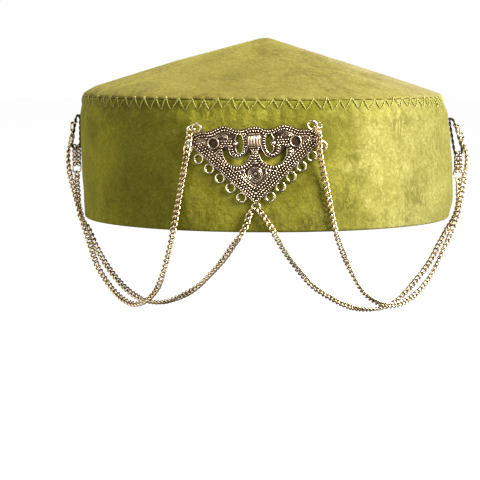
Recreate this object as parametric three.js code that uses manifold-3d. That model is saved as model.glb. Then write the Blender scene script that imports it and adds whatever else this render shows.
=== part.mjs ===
// A pillbox hat of velvet with a shallow conical crown, a pierced metal plaque on its front and four
// hanging chains. Millimetres, +Z up. The origin is the centre of the head opening, at the rim.
// The plaque faces -Y.
import * as THREE from 'three';
import { mergeVertices } from 'three/addons/utils/BufferGeometryUtils.js';
import Module from 'manifold-3d';

const wasm = await Module();
wasm.setup();

// Driving dimensions: cloth
const CLOTH_THICKNESS = 2.5;
const BAND_HEIGHT = 60;
const CROWN_SLOPE = 16.85;
const SHOULDER_RADIUS = 2.8;
const APEX_FLAT = 3;
const APEX_BLUNTING = 0.4;
const SEAM_GAP = 0.3;
const ROUND_STEPS = 52;
const CROWN_OUTSIDE = { inset: 0, shoulderSteps: 3, slopeRadii: [60, 30] };
const CROWN_INSIDE = { inset: CLOTH_THICKNESS, shoulderSteps: 1, slopeRadii: [45] };

// Outer radius of the band at a height, at the wearer's front and back and at the two sides.
const BAND_SECTIONS = [
  { height: 0, front: 91.2, left: 90.3, right: 91.6 },
  { height: 10, front: 91.7, left: 90.8, right: 93.4 },
  { height: 24, front: 91.8, left: 91.6, right: 93.0 },
  { height: 38, front: 91.5, left: 92.0, right: 92.0 },
  { height: 50, front: 90.8, left: 92.0, right: 90.6 },
  { height: BAND_HEIGHT, front: 89.4, left: 90.7, right: 87.2 },
];

// Soft hollows pressed into the band: azimuth runs from the front towards +X.
const BAND_DENTS = [
  { azimuth: 27, height: 34, spanDegrees: 9, spanHeight: 13, depth: 1.0 },
  { azimuth: 46, height: 24, spanDegrees: 10, spanHeight: 15, depth: 1.3 },
  { azimuth: -58, height: 34, spanDegrees: 14, spanHeight: 16, depth: 0.8 },
  { azimuth: 150, height: 30, spanDegrees: 16, spanHeight: 14, depth: 1.2 },
  { azimuth: -140, height: 26, spanDegrees: 14, spanHeight: 16, depth: 1.0 },
];

// Driving dimensions: plaque, in its own flat frame with the tip at 0, 0
const PLAQUE_TIP = { x: -4.2, z: 14 };
const PLAQUE_TILT = 1.6;
const PLAQUE_INNER_RADIUS = 92.2;
const WALL_RING_STEPS = 60;
const CUT_ZONE = { low: -20, high: 60, near: 50, depth: 60 };
const CURVE_SEGMENTS = 7;
const PLATE_THICKNESS = 1.3;
const RELIEF_THICKNESS = 1.9;
const RIDGE_THICKNESS = 2.3;
const HALF_WIDTH = 29.8;
const CORNER_HEIGHT = 26.9;
const BORDER_INSETS = [0.6, 2.05, 3.5];
const BORDER_RIDGE = 0.9;
const BORDER_END = 0.9;
const TOP_ROPE = { inset: 1.0, half: 0.55 };
const RING_STEPS = 10;
const RING_SIDES = 5;
const EDGE_RING = { radius: 2.05, wire: 0.5, count: 6, first: 6.7, pitch: 6.55, standOff: 2.2 };
const CORNER_RING = { radius: 1.95, wire: 0.5, x: 26.2, z: 34.0, depth: 1.3 };
const TIP_RING = { radius: 1.75, wire: 0.5, z: -2.2 };
const CRESCENT = {
  x: 8.2, z: 22.9, outer: 6.3, inner: 3.9,
  rise: 1.0, taper: 1.6, from: -190, to: -5, steps: 8,
};
const SCROLL = {
  x: 7.8, z: 25.8, wide: 0.8, tall: 1.15, half: 0.6,
  fromRadius: 4.4, toRadius: 3.0, from: -215, to: 20, steps: 9,
};
const KIDNEY = { x: 6.9, z: 26.6, halfWidth: 1.8, halfHeight: 4.4, knobX: 8.6, knobRadius: 1.4, steps: 16 };
const BOSSES = [
  { x: -18.7, z: 27.1 },
  { x: 18.7, z: 27.1 },
  { x: 0, z: 12.8 },
];
const BOSS = { outer: 2.8, inner: 1.7 };
const KNOB = { z: 28.4, halfWidth: 3.6, halfHeight: 3.1, depth: 2.2, sink: 0.4, steps: 12, rings: 7 };
const VEINS = [
  { half: 0.7, points: [{ x: 0, z: 24.6 }, { x: 0, z: 17.2 }] },
  {
    half: 0.45,
    points: [
      { x: -6.4, z: 14.4 },
      { x: -3.4, z: 10.4 },
      { x: 0, z: 8.4 },
      { x: 3.4, z: 10.4 },
      { x: 6.4, z: 14.4 },
    ],
  },
];

// Right half of the plate's outline, from the tip along the lower edge, up the corner and along the top.
const PLATE_HALF = [
  { x: 0, z: -0.7 },
  { x: HALF_WIDTH, z: CORNER_HEIGHT },
  { x: 29.5, z: 30.2 },
  { x: 26.0, z: 32.2 },
  { x: 20.5, z: 32.5 },
  { x: 17.0, z: 34.0 },
  { x: 14.1, z: 34.9 },
  { x: 11.2, z: 34.2 },
  { x: 8.4, z: 33.0 },
  { x: 4.6, z: 33.0 },
  { x: 2.4, z: 34.0 },
  { x: 0, z: 34.3 },
];

// Driving dimensions: chains and wire pieces
const CHAIN_DIAMETER = 2.5;
const CHAIN_SIDES = 8;
const CHAIN_STEP = 2.8 * CHAIN_DIAMETER;
const LINK = { length: 3.9, width: 3.1, wire: 0.4, steps: 10, sides: 5 };
const LINK_PITCH = 2.5;
const LINK_TURN = 68;
const SIDE_CHAIN_LINKS = 4;
const SIDE_CHAIN_OFFSET = 1.05;
const JUMP_RING = {
  width: 4.5, length: 4.5, wire: 0.35, steps: 12, sides: 5,
  lean: 36, depth: 1.35, reach: 0.62,
};
const EYE_RING = {
  width: 3.6, length: 3.6, wire: 0.3, steps: 12, sides: 5,
  lean: 20, drop: 3.6, turn: 45,
};
const OVAL_LINK = { width: 2.5, length: 5.2, wire: 0.35, steps: 12, sides: 5 };
const THREAD_LOOP = {
  width: 5.0, wire: 0.3, steps: 12, sides: 5,
  wallGap: 0.5, taper: 0.45, lead: 0.35,
};
const WIRE_PLAY = 0.2;
const LINK_SEAT = 0.05;
const GATHER_RING = { wire: 0.35, steps: 14, sides: 5 };

// The fittings that hang at each side of the band.
const SIDES = [
  {
    name: 'left', sign: -1, wall: 92.0, threadTop: 50,
    ringX: 94.6, ringZ: 24, ringWidth: 4.7, ringHeight: 6.0,
  },
  {
    name: 'right', sign: 1, wall: 90.9, threadTop: 48.5,
    ringX: 96.4, ringZ: 21, ringWidth: 5.5, ringHeight: 5.6,
  },
];

// Routes of the hanging chains: first down the wall, at a distance off it, then free below the rim.
const CHAINS = [
  {
    name: 'chain_left_outer',
    wall: [
      { x: -34.4, z: 44.4, off: 4.3 },
      { x: -35.4, z: 38, off: 4.2 },
      { x: -37.2, z: 28, off: 2.6 },
      { x: -39, z: 18, off: 1.8 },
      { x: -40.8, z: 8, off: 1.8 },
      { x: -42.2, z: 1, off: 1.8 },
    ],
    free: [
      { x: -43.6, y: -80.8, z: -6 },
      { x: -46.6, y: -76.6, z: -17.5 },
      { x: -50.5, y: -71.5, z: -28 },
      { x: -56.5, y: -63.5, z: -35 },
      { x: -62.5, y: -55.5, z: -37.5 },
      { x: -69, y: -47, z: -35.8 },
      { x: -76, y: -37.5, z: -30 },
      { x: -82, y: -30, z: -22 },
      { x: -86.5, y: -23.6, z: -10.5 },
      { x: -89.8, y: -19, z: -2 },
      { x: -92, y: -16, z: 5 },
      { x: -94.2, y: -12.5, z: 11.5 },
      { x: -96.4, y: -8.5, z: 18 },
      { x: -98.1, y: -5.4, z: 25 },
      { x: -98.4, y: -3.8, z: 31.5 },
      { x: -97.9, y: -2.6, z: 35.2 },
      { x: -97, y: -1.7, z: 37.9 },
      { x: -96.6, y: -1.5, z: 41.5 },
    ],
  },
  {
    name: 'chain_left_inner',
    wall: [
      { x: -7.2, z: 8.6, off: 2.0 },
      { x: -9.2, z: 2.5, off: 1.8 },
      { x: -11.2, z: -1, off: 2.5 },
    ],
    free: [
      { x: -13.9, y: -90.2, z: -4.8 },
      { x: -19, y: -84.6, z: -12.6 },
      { x: -24.5, y: -78.2, z: -19.6 },
      { x: -32, y: -69.6, z: -27.6 },
      { x: -40.5, y: -61, z: -33.4 },
      { x: -49, y: -52.4, z: -37 },
      { x: -57, y: -44.4, z: -37.4 },
      { x: -64.5, y: -36.8, z: -35 },
      { x: -72, y: -29.4, z: -29.2 },
      { x: -78.5, y: -22.6, z: -21.8 },
      { x: -83.5, y: -17.6, z: -14 },
      { x: -87.5, y: -13.6, z: -5.5 },
      { x: -91.7, y: -11.2, z: 0 },
      { x: -92.8, y: -9.5, z: 6 },
      { x: -93.5, y: -6.5, z: 12 },
      { x: -94.3, y: -2.6, z: 17 },
      { x: -94.4, y: -0.6, z: 20.4 },
    ],
  },
  {
    name: 'chain_right_outer',
    wall: [
      { x: 23.9, z: 45.2, off: 4.8 },
      { x: 24.4, z: 41.5, off: 4.7 },
      { x: 24.4, z: 37.5, off: 4.5 },
      { x: 25.4, z: 31, off: 3.5 },
      { x: 27.2, z: 22.5, off: 2.1 },
      { x: 29, z: 14.5, off: 1.8 },
      { x: 31.6, z: 2, off: 2.0 },
    ],
    free: [
      { x: 34.3, y: -84.6, z: -6.3 },
      { x: 39.6, y: -78, z: -19.3 },
      { x: 45.1, y: -71.7, z: -29 },
      { x: 51.5, y: -64.3, z: -34.8 },
      { x: 58, y: -56.8, z: -37.8 },
      { x: 64.5, y: -49.2, z: -38 },
      { x: 71, y: -41.5, z: -35.6 },
      { x: 77, y: -34.8, z: -30.8 },
      { x: 82, y: -29, z: -24.5 },
      { x: 86, y: -24.4, z: -17 },
      { x: 89.6, y: -20, z: -10.5 },
      { x: 92.4, y: -17, z: -4 },
      { x: 94.8, y: -14.2, z: 2 },
      { x: 96.2, y: -12.5, z: 8 },
      { x: 97.4, y: -10.5, z: 14 },
      { x: 98.8, y: -8, z: 21 },
      { x: 99.8, y: -6, z: 27 },
      { x: 99.8, y: -4.4, z: 31.5 },
      { x: 99, y: -3, z: 34.6 },
      { x: 97.7, y: -2, z: 36.6 },
      { x: 97.3, y: -1.8, z: 40.2 },
    ],
  },
  {
    name: 'chain_right_inner',
    wall: [
      { x: -1.5, z: 8.7, off: 2.0 },
      { x: 1.5, z: 4.2, off: 1.9 },
    ],
    free: [
      { x: 4.5, y: -92.8, z: -0.8 },
      { x: 9.3, y: -88.4, z: -9.4 },
      { x: 15.3, y: -82.3, z: -18.1 },
      { x: 22, y: -76, z: -26.2 },
      { x: 29.7, y: -68.8, z: -32.2 },
      { x: 37.5, y: -61.5, z: -37 },
      { x: 45.5, y: -54, z: -40 },
      { x: 53, y: -47, z: -41 },
      { x: 60, y: -40.4, z: -39.8 },
      { x: 67, y: -33.8, z: -35.6 },
      { x: 74, y: -27.2, z: -29 },
      { x: 80.5, y: -21.2, z: -21.5 },
      { x: 85.5, y: -16.5, z: -13 },
      { x: 89.5, y: -13.2, z: -6 },
      { x: 93.4, y: -10.8, z: 0.5 },
      { x: 95.4, y: -8.5, z: 6 },
      { x: 96, y: -5, z: 11.5 },
      { x: 96.4, y: -1, z: 17.4 },
    ],
  },
];

// Edges shorter than this come only from cuts that nearly coincide.
const SHORTEST_EDGE = 0.006;
const SAME_PLACE = 0.0005;

const LOOKS = {
  olive: { color: 0x8f8f2c, metalness: 0, roughness: 0.95 },
  khaki: { color: 0xb5a85a, metalness: 0, roughness: 0.95 },
  bronze: { color: 0x9c7f5c, metalness: 0.9, roughness: 0.4 },
  gold: { color: 0xb99a62, metalness: 1, roughness: 0.3 },
  thread: { color: 0x2b2414, metalness: 0, roughness: 0.9 },
};

const hat = new THREE.Group();

function addPiece(name, geometry, look) {
  const piece = new THREE.Mesh(geometry, new THREE.MeshStandardMaterial(LOOKS[look]));
  piece.name = name;
  hat.add(piece);
  return piece;
}

function degrees(value) {
  return THREE.MathUtils.degToRad(value);
}

function between(low, high, share) {
  return low + (high - low) * share;
}

// Joining and cutting

function toSolid(geometry) {
  const bare = geometry.clone();
  bare.deleteAttribute('normal');
  bare.deleteAttribute('uv');
  const merged = mergeVertices(bare, SAME_PLACE);
  return new wasm.Manifold(
    new wasm.Mesh({
      numProp: 3,
      vertProperties: new Float32Array(merged.attributes.position.array),
      triVerts: new Uint32Array(merged.index.array),
    }),
  );
}

// Draws the ends of edges that are too short to matter together, and drops the faces that this flattens.
function withoutShortEdges(places, faces) {
  const target = Array.from({ length: places.length / 3 }, (_, i) => i);
  const find = (i) => (target[i] === i ? i : find(target[i]));
  const distance = (i, j) =>
    Math.hypot(...[0, 1, 2].map((axis) => places[3 * i + axis] - places[3 * j + axis]));
  for (let i = 0; i < faces.length; i += 1) {
    const next = i % 3 === 2 ? i - 2 : i + 1;
    const [a, b] = [find(faces[i]), find(faces[next])];
    if (a !== b && distance(a, b) < SHORTEST_EDGE) target[Math.max(a, b)] = Math.min(a, b);
  }
  const kept = [];
  for (let i = 0; i < faces.length; i += 3) {
    const face = [find(faces[i]), find(faces[i + 1]), find(faces[i + 2])];
    if (new Set(face).size === 3) kept.push(...face);
  }
  return kept;
}

function toGeometry(solid) {
  const mesh = solid.getMesh();
  const geometry = new THREE.BufferGeometry();
  geometry.setAttribute('position', new THREE.BufferAttribute(new Float32Array(mesh.vertProperties), 3));
  geometry.setIndex(withoutShortEdges(mesh.vertProperties, mesh.triVerts));
  return mergeVertices(geometry, SAME_PLACE);
}

function joined(geometries) {
  return geometries.map(toSolid).reduce((sum, solid) => sum.add(solid));
}

// Cloth

function smooth(share) {
  return share * share * (3 - 2 * share);
}

function sectionAt(height) {
  const last = BAND_SECTIONS.length - 1;
  let row = 0;
  while (row < last - 1 && height > BAND_SECTIONS[row + 1].height) row += 1;
  const low = BAND_SECTIONS[row];
  const high = BAND_SECTIONS[row + 1];
  const share = smooth(THREE.MathUtils.clamp((height - low.height) / (high.height - low.height), 0, 1));
  return {
    front: between(low.front, high.front, share),
    left: between(low.left, high.left, share),
    right: between(low.right, high.right, share),
  };
}

function roundness(azimuth, height) {
  const section = sectionAt(height);
  const side = Math.sin(azimuth);
  const sideRadius = side > 0 ? section.right : section.left;
  return between(section.front, sideRadius, side * side);
}

function dentAt(azimuth, height) {
  let depth = 0;
  for (const dent of BAND_DENTS) {
    const turn = THREE.MathUtils.radToDeg(azimuth) - dent.azimuth;
    const wrapped = THREE.MathUtils.euclideanModulo(turn + 180, 360) - 180;
    const reach = (wrapped / dent.spanDegrees) ** 2 + ((height - dent.height) / dent.spanHeight) ** 2;
    depth += dent.depth * Math.exp(-reach);
  }
  return depth;
}

// A closed profile turned round the axis, then pushed to the hat's slightly uneven outline.
function turned(profile, outline) {
  const geometry = new THREE.LatheGeometry(profile, ROUND_STEPS);
  geometry.rotateX(Math.PI / 2);
  const places = geometry.attributes.position;
  for (let i = 0; i < places.count; i += 1) {
    const x = places.getX(i);
    const y = places.getY(i);
    const radius = Math.hypot(x, y);
    if (radius < 1e-6) continue;
    const scale = outline(Math.atan2(x, -y), places.getZ(i), radius) / radius;
    places.setXY(i, x * scale, y * scale);
  }
  return geometry;
}

function bandGeometry() {
  const nominal = BAND_SECTIONS[0].front;
  const top = BAND_HEIGHT - SEAM_GAP;
  const heights = BAND_SECTIONS.map((section) => Math.min(section.height, top));
  const outer = heights.map((height) => new THREE.Vector2(nominal, height));
  const inner = [top, heights[3], heights[1], 0]
    .map((height) => new THREE.Vector2(nominal - CLOTH_THICKNESS, height));
  const profile = [...outer, ...inner, outer[0].clone()];
  return turned(profile, (azimuth, height, radius) =>
    roundness(azimuth, height) - dentAt(azimuth, height) - (nominal - radius));
}

// One side of the crown's cloth, from the seam inwards: a shoulder arc, a straight slope, a blunt apex.
function crownProfile(seamRadius, { inset, shoulderSteps, slopeRadii }) {
  const bend = SHOULDER_RADIUS - inset;
  const profile = [];
  for (let i = 0; i <= shoulderSteps; i += 1) {
    const angle = (degrees(90 - CROWN_SLOPE) * i) / shoulderSteps;
    const radius = seamRadius - SHOULDER_RADIUS + bend * Math.cos(angle);
    profile.push(new THREE.Vector2(radius, bend * Math.sin(angle)));
  }
  const edge = profile[profile.length - 1];
  const fall = Math.tan(degrees(CROWN_SLOPE));
  for (const radius of [...slopeRadii, APEX_FLAT]) {
    profile.push(new THREE.Vector2(radius, edge.y + (edge.x - radius) * fall));
  }
  const blunt = profile[profile.length - 1];
  profile.push(new THREE.Vector2(0, blunt.y + APEX_FLAT * fall * APEX_BLUNTING));
  return profile;
}

function crownGeometry() {
  const seamRadius = BAND_SECTIONS[BAND_SECTIONS.length - 1].front;
  const outer = crownProfile(seamRadius, CROWN_OUTSIDE);
  const inner = crownProfile(seamRadius, CROWN_INSIDE).reverse();
  const profile = [...outer, ...inner, outer[0].clone()];
  const geometry = turned(profile, (azimuth, height, radius) =>
    radius * (roundness(azimuth, BAND_HEIGHT) / seamRadius));
  return geometry.translate(0, 0, BAND_HEIGHT);
}

// Plaque

const tilt = degrees(PLAQUE_TILT);

// A full ring of metal against the wall, out of which every layer of the plaque is cut.
function wallRing(thickness) {
  const inner = PLAQUE_INNER_RADIUS;
  const outer = inner + thickness;
  const profile = [
    new THREE.Vector2(inner, CUT_ZONE.low),
    new THREE.Vector2(outer, CUT_ZONE.low),
    new THREE.Vector2(outer, CUT_ZONE.high),
    new THREE.Vector2(inner, CUT_ZONE.high),
    new THREE.Vector2(inner, CUT_ZONE.low),
  ];
  return toSolid(new THREE.LatheGeometry(profile, WALL_RING_STEPS).rotateX(Math.PI / 2));
}

// Stands a flat shape up, facing -Y, and runs it through the front of the ring.
function prism(shape) {
  const geometry = new THREE.ExtrudeGeometry(shape, {
    depth: CUT_ZONE.depth,
    bevelEnabled: false,
    curveSegments: CURVE_SEGMENTS,
  });
  geometry.rotateX(Math.PI / 2);
  geometry.rotateY(-tilt);
  return toSolid(geometry.translate(0, -CUT_ZONE.near, 0));
}

function layer(shapes, thickness) {
  const cutters = shapes.map((shape) => prism(shape));
  return wallRing(thickness).intersect(cutters.reduce((sum, solid) => sum.add(solid)));
}

function mirroredOutline(half) {
  const shape = new THREE.Shape();
  shape.moveTo(half[0].x, half[0].z);
  for (const point of half.slice(1)) shape.lineTo(point.x, point.z);
  for (const point of half.slice(1).reverse()) {
    if (point.x > 0) shape.lineTo(-point.x, point.z);
  }
  return shape;
}

const EDGE_RUN = new THREE.Vector2(PLATE_HALF[1].x, PLATE_HALF[1].z - PLATE_HALF[0].z).normalize();
const EDGE_LENGTH = Math.hypot(PLATE_HALF[1].x, PLATE_HALF[1].z - PLATE_HALF[0].z);

// The eye of a scroll, with a round knob standing into it from the outer side.
function kidneyHole(side) {
  const points = [];
  for (let i = 0; i < KIDNEY.steps; i += 1) {
    const angle = (-side * 2 * Math.PI * i) / KIDNEY.steps;
    const z = KIDNEY.halfHeight * Math.sin(angle);
    const knobReach = KIDNEY.knobRadius ** 2 - z ** 2;
    const edge = knobReach > 0 ? KIDNEY.knobX - Math.sqrt(knobReach) : Infinity;
    const x = Math.min(KIDNEY.x + KIDNEY.halfWidth * Math.cos(angle), edge);
    points.push(new THREE.Vector2(side * x, KIDNEY.z + z));
  }
  return new THREE.Path(points).closePath();
}

// The crescent below a scroll: a large arc outside, a smaller and higher arc inside.
function crescentHole(side) {
  const outer = [];
  const inner = [];
  const place = (radius, angle, rise) => new THREE.Vector2(
    side * (CRESCENT.x - radius * Math.cos(angle)),
    CRESCENT.z + rise + radius * Math.sin(angle),
  );
  for (let i = 0; i <= CRESCENT.steps; i += 1) {
    const share = i / CRESCENT.steps;
    const angle = degrees(between(CRESCENT.from, CRESCENT.to, share));
    const thin = CRESCENT.inner + CRESCENT.taper * Math.abs(2 * share - 1) ** 3;
    outer.push(place(CRESCENT.outer, angle, 0));
    inner.push(place(thin, angle, CRESCENT.rise));
  }
  return new THREE.Path([...outer, ...inner.reverse()]).closePath();
}

function plateShape() {
  const shape = mirroredOutline(PLATE_HALF);
  for (const side of [-1, 1]) shape.holes.push(kidneyHole(side), crescentHole(side));
  return shape;
}

// The lower edges run from the tip to the corners. A point on them, by its way along and its inset.
function alongEdge(side, along, inset) {
  return {
    x: side * (EDGE_RUN.x * along - EDGE_RUN.y * inset),
    z: PLATE_HALF[0].z + EDGE_RUN.y * along + EDGE_RUN.x * inset,
  };
}

// A ridge parallel to both lower edges, in a V round the tip.
function borderRidge(inset) {
  const tip = { x: 0, z: PLATE_HALF[0].z + inset / EDGE_RUN.x };
  const reach = EDGE_LENGTH - BORDER_END;
  return strip([alongEdge(-1, reach, inset), tip, alongEdge(1, reach, inset)], BORDER_RIDGE / 2);
}

function ringShape(x, z, outer, inner) {
  const shape = new THREE.Shape();
  shape.absarc(x, z, outer, 0, 2 * Math.PI, false);
  const hole = new THREE.Path();
  hole.absarc(x, z, inner, 0, 2 * Math.PI, true);
  shape.holes.push(hole);
  return shape;
}

// A narrow strip that follows a run of points, mitred at each, with the given half width.
function strip(points, half) {
  const path = points.map((point) => new THREE.Vector2(point.x, point.z));
  const left = [];
  const right = [];
  path.forEach((place, i) => {
    const into = place.clone().sub(path[i - 1] ?? place);
    const out = (path[i + 1] ?? place).clone().sub(place);
    const run = into.clone().normalize().add(out.clone().normalize()).normalize();
    const normal = new THREE.Vector2(-run.y, run.x);
    const leg = (out.length() > 0 ? out : into).normalize();
    const reach = half / (leg.x * run.x + leg.y * run.y);
    left.push(place.clone().addScaledVector(normal, reach));
    right.push(place.clone().addScaledVector(normal, -reach));
  });
  return new THREE.Shape([...left, ...right.reverse()]);
}

function topRope() {
  const half = PLATE_HALF.slice(2).map((point) => ({ x: point.x, z: point.z - TOP_ROPE.inset }));
  const other = half.slice(0, -1).map((point) => ({ x: -point.x, z: point.z })).reverse();
  return strip([...half, ...other], TOP_ROPE.half);
}

// The raised band that curls round the eye of a scroll.
function scrollBand(side) {
  const points = [];
  for (let i = 0; i <= SCROLL.steps; i += 1) {
    const angle = degrees(between(SCROLL.from, SCROLL.to, i / SCROLL.steps));
    const radius = between(SCROLL.fromRadius, SCROLL.toRadius, i / SCROLL.steps);
    points.push({
      x: side * (SCROLL.x - radius * SCROLL.wide * Math.cos(angle)),
      z: SCROLL.z + radius * SCROLL.tall * Math.sin(angle),
    });
  }
  return strip(points, SCROLL.half);
}

// A ring soldered to the plate, standing off the wall by its own depth.
function plateRing(ring, x, z, depth = PLATE_THICKNESS / 2) {
  const geometry = new THREE.TorusGeometry(ring.radius, ring.wire, RING_SIDES, RING_STEPS);
  const place = new THREE.Vector2(x, z).rotateAround(new THREE.Vector2(), tilt);
  const azimuth = Math.asin(place.x / (PLAQUE_INNER_RADIUS + depth));
  geometry.rotateX(Math.PI / 2);
  geometry.translate(0, -PLAQUE_INNER_RADIUS - depth, place.y);
  return geometry.rotateZ(azimuth);
}

function edgeRings(side) {
  const rings = [];
  for (let i = 0; i < EDGE_RING.count; i += 1) {
    const place = alongEdge(side, EDGE_RING.first + EDGE_RING.pitch * i, -EDGE_RING.standOff);
    rings.push(plateRing(EDGE_RING, place.x, place.z));
  }
  return rings;
}

// The smooth knob in the middle of the top, cut off where it meets the wall.
function knob() {
  const geometry = new THREE.SphereGeometry(1, KNOB.steps, KNOB.rings);
  geometry.scale(KNOB.halfWidth, KNOB.depth, KNOB.halfHeight);
  geometry.translate(0, -PLAQUE_INNER_RADIUS - PLATE_THICKNESS + KNOB.sink, KNOB.z);
  geometry.rotateY(-tilt);
  return toSolid(geometry).intersect(wallRing(PLATE_THICKNESS + KNOB.depth));
}

function solderedRings() {
  const corners = [-1, 1].map((side) =>
    plateRing(CORNER_RING, side * CORNER_RING.x, CORNER_RING.z, CORNER_RING.depth));
  return [...edgeRings(-1), ...edgeRings(1), plateRing(TIP_RING, 0, TIP_RING.z), ...corners];
}

function plaqueGeometry() {
  const ridges = [
    ...BORDER_INSETS.map(borderRidge),
    ...[-1, 1].map(scrollBand),
    topRope(),
    ...VEINS.map(({ points, half }) => strip(points, half)),
  ];
  const bossRings = BOSSES.map(({ x, z }) => ringShape(x, z, BOSS.outer, BOSS.inner));
  const cast = layer([plateShape()], PLATE_THICKNESS)
    .add(layer(ridges, RELIEF_THICKNESS))
    .add(layer(bossRings, RIDGE_THICKNESS))
    .add(knob());
  return toGeometry(solderedRings().reduce((sum, ring) => sum.add(toSolid(ring)), cast));
}

// The plaque is made round x = 0 with its tip at 0, then lifted and turned round the axis to its place.
function placeOnFront(piece) {
  piece.position.z = PLAQUE_TIP.z;
  piece.rotation.z = Math.asin(PLAQUE_TIP.x / PLAQUE_INNER_RADIUS);
}

// Wire pieces

// A closed ring or long link in the XY plane, its length along Y.
function oval({ width, length, wire, steps, sides }) {
  const geometry = new THREE.TorusGeometry(width / 2 - wire, wire, sides, steps);
  geometry.rotateZ(Math.PI / steps);
  const shift = (length - width) / 2;
  const places = geometry.attributes.position;
  for (let i = 0; i < places.count; i += 1) {
    places.setY(i, places.getY(i) + Math.sign(places.getY(i)) * shift);
  }
  return geometry;
}

// Stands a link up along Z, facing the front.
function upright(geometry) {
  return geometry.rotateX(Math.PI / 2);
}

function jumpRing(cornerX) {
  const corner = new THREE.Vector2(cornerX, CORNER_RING.z).rotateAround(new THREE.Vector2(), tilt);
  const radius = PLAQUE_INNER_RADIUS + JUMP_RING.depth;
  const across = corner.x + Math.sign(cornerX) * (CORNER_RING.radius + JUMP_RING.reach);
  const geometry = oval(JUMP_RING).rotateX(degrees(JUMP_RING.lean));
  geometry.translate(0, -radius, PLAQUE_TIP.z + corner.y);
  return geometry.rotateZ(Math.asin(PLAQUE_TIP.x / PLAQUE_INNER_RADIUS) + Math.asin(across / radius));
}

// Centreline of the gather ring, above its centre, at a distance from its middle.
function ringRise(side, across) {
  const halfWidth = side.ringWidth / 2 - GATHER_RING.wire;
  const shift = (side.ringHeight - side.ringWidth) / 2;
  return shift + Math.sqrt(halfWidth ** 2 - across ** 2);
}

// Height of the centre of each link in the short chains, from the gather ring upwards.
function sideLinkHeights(side) {
  const first = side.ringZ + ringRise(side, SIDE_CHAIN_OFFSET) + LINK_SEAT;
  return Array.from({ length: SIDE_CHAIN_LINKS }, (_, i) => first + LINK_PITCH * i);
}

// The bottom of the thread loop lies in the top links, and its top is sewn to the wall.
function threadEnds(side) {
  const heights = sideLinkHeights(side);
  const topHalfWidth = (THREAD_LOOP.width * THREAD_LOOP.taper) / 2;
  const bend = THREAD_LOOP.width / 2 - THREAD_LOOP.wire;
  const rise = bend - Math.sqrt(bend ** 2 - SIDE_CHAIN_OFFSET ** 2);
  return {
    top: { x: side.wall + THREAD_LOOP.wallGap + topHalfWidth, z: side.threadTop },
    bottom: { x: side.ringX + THREAD_LOOP.lead, z: heights[heights.length - 1] - LINK_SEAT - rise },
  };
}

// A long loop, narrow at its top, that leans out with its bottom.
function threadLoop(side) {
  const { top, bottom } = threadEnds(side);
  const length = top.z - bottom.z + 2 * THREAD_LOOP.wire;
  const geometry = upright(oval({ ...THREAD_LOOP, length }));
  const places = geometry.attributes.position;
  for (let i = 0; i < places.count; i += 1) {
    const share = 0.5 - places.getZ(i) / (top.z - bottom.z);
    const narrow = between(THREAD_LOOP.taper, 1, THREE.MathUtils.clamp(share, 0, 1));
    places.setX(i, places.getX(i) * narrow + side.sign * between(top.x, bottom.x, share));
  }
  return geometry.translate(0, 0, (top.z + bottom.z) / 2);
}

// The eye ring is threaded on the outer leg of the loop, and the oval link hangs from its far side.
function eyeRingPlace(side) {
  const { top, bottom } = threadEnds(side);
  const share = EYE_RING.drop / (top.z - bottom.z);
  const halfLoop = (THREAD_LOOP.width / 2 - THREAD_LOOP.wire) * between(THREAD_LOOP.taper, 1, share);
  const across = between(top.x, bottom.x, share) + halfLoop;
  const leg = new THREE.Vector3(side.sign * across, 0, top.z - EYE_RING.drop);
  const angle = -Math.PI / 2 + side.sign * (Math.PI / 2 - degrees(EYE_RING.turn));
  const wire = EYE_RING.width / 2 - EYE_RING.wire;
  const reach = wire * Math.cos(degrees(EYE_RING.lean));
  const offset = reach - THREAD_LOOP.wire - EYE_RING.wire - WIRE_PLAY;
  const out = new THREE.Vector3(Math.cos(angle), Math.sin(angle), 0);
  const centre = leg.clone().addScaledVector(out, offset);
  const farSide = centre.clone().addScaledVector(out, reach);
  farSide.z -= wire * Math.sin(degrees(EYE_RING.lean));
  return { angle, centre, farSide };
}

function eyeRing(side) {
  const { angle, centre } = eyeRingPlace(side);
  const geometry = oval(EYE_RING).rotateY(degrees(EYE_RING.lean)).rotateZ(angle);
  return geometry.translate(centre.x, centre.y, centre.z);
}

function ovalLink(side) {
  const { angle, farSide } = eyeRingPlace(side);
  const hang = OVAL_LINK.length / 2 - 2 * OVAL_LINK.wire - EYE_RING.wire - WIRE_PLAY;
  const geometry = upright(oval(OVAL_LINK)).rotateZ(angle);
  return geometry.translate(farSide.x, farSide.y, farSide.z - hang);
}

function gatherRing(side) {
  const shape = { ...GATHER_RING, width: side.ringWidth, length: side.ringHeight };
  return upright(oval(shape)).translate(side.sign * side.ringX, 0, side.ringZ);
}

// A short run of interlocked links, turned to and fro, fused where they touch.
function sideChain(side, offset) {
  const links = sideLinkHeights(side).map((z, i) => {
    const turn = degrees(i % 2 === 0 ? LINK_TURN : -LINK_TURN);
    return upright(oval(LINK)).rotateZ(turn).translate(side.sign * side.ringX + offset, 0, z);
  });
  return toGeometry(joined(links));
}

// Hanging chains

function onWall({ x, z, off }) {
  const reach = roundness(Math.asin(x / BAND_SECTIONS[0].front), z) + off;
  return new THREE.Vector3(x, -Math.sqrt(reach ** 2 - x ** 2), z);
}

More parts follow.
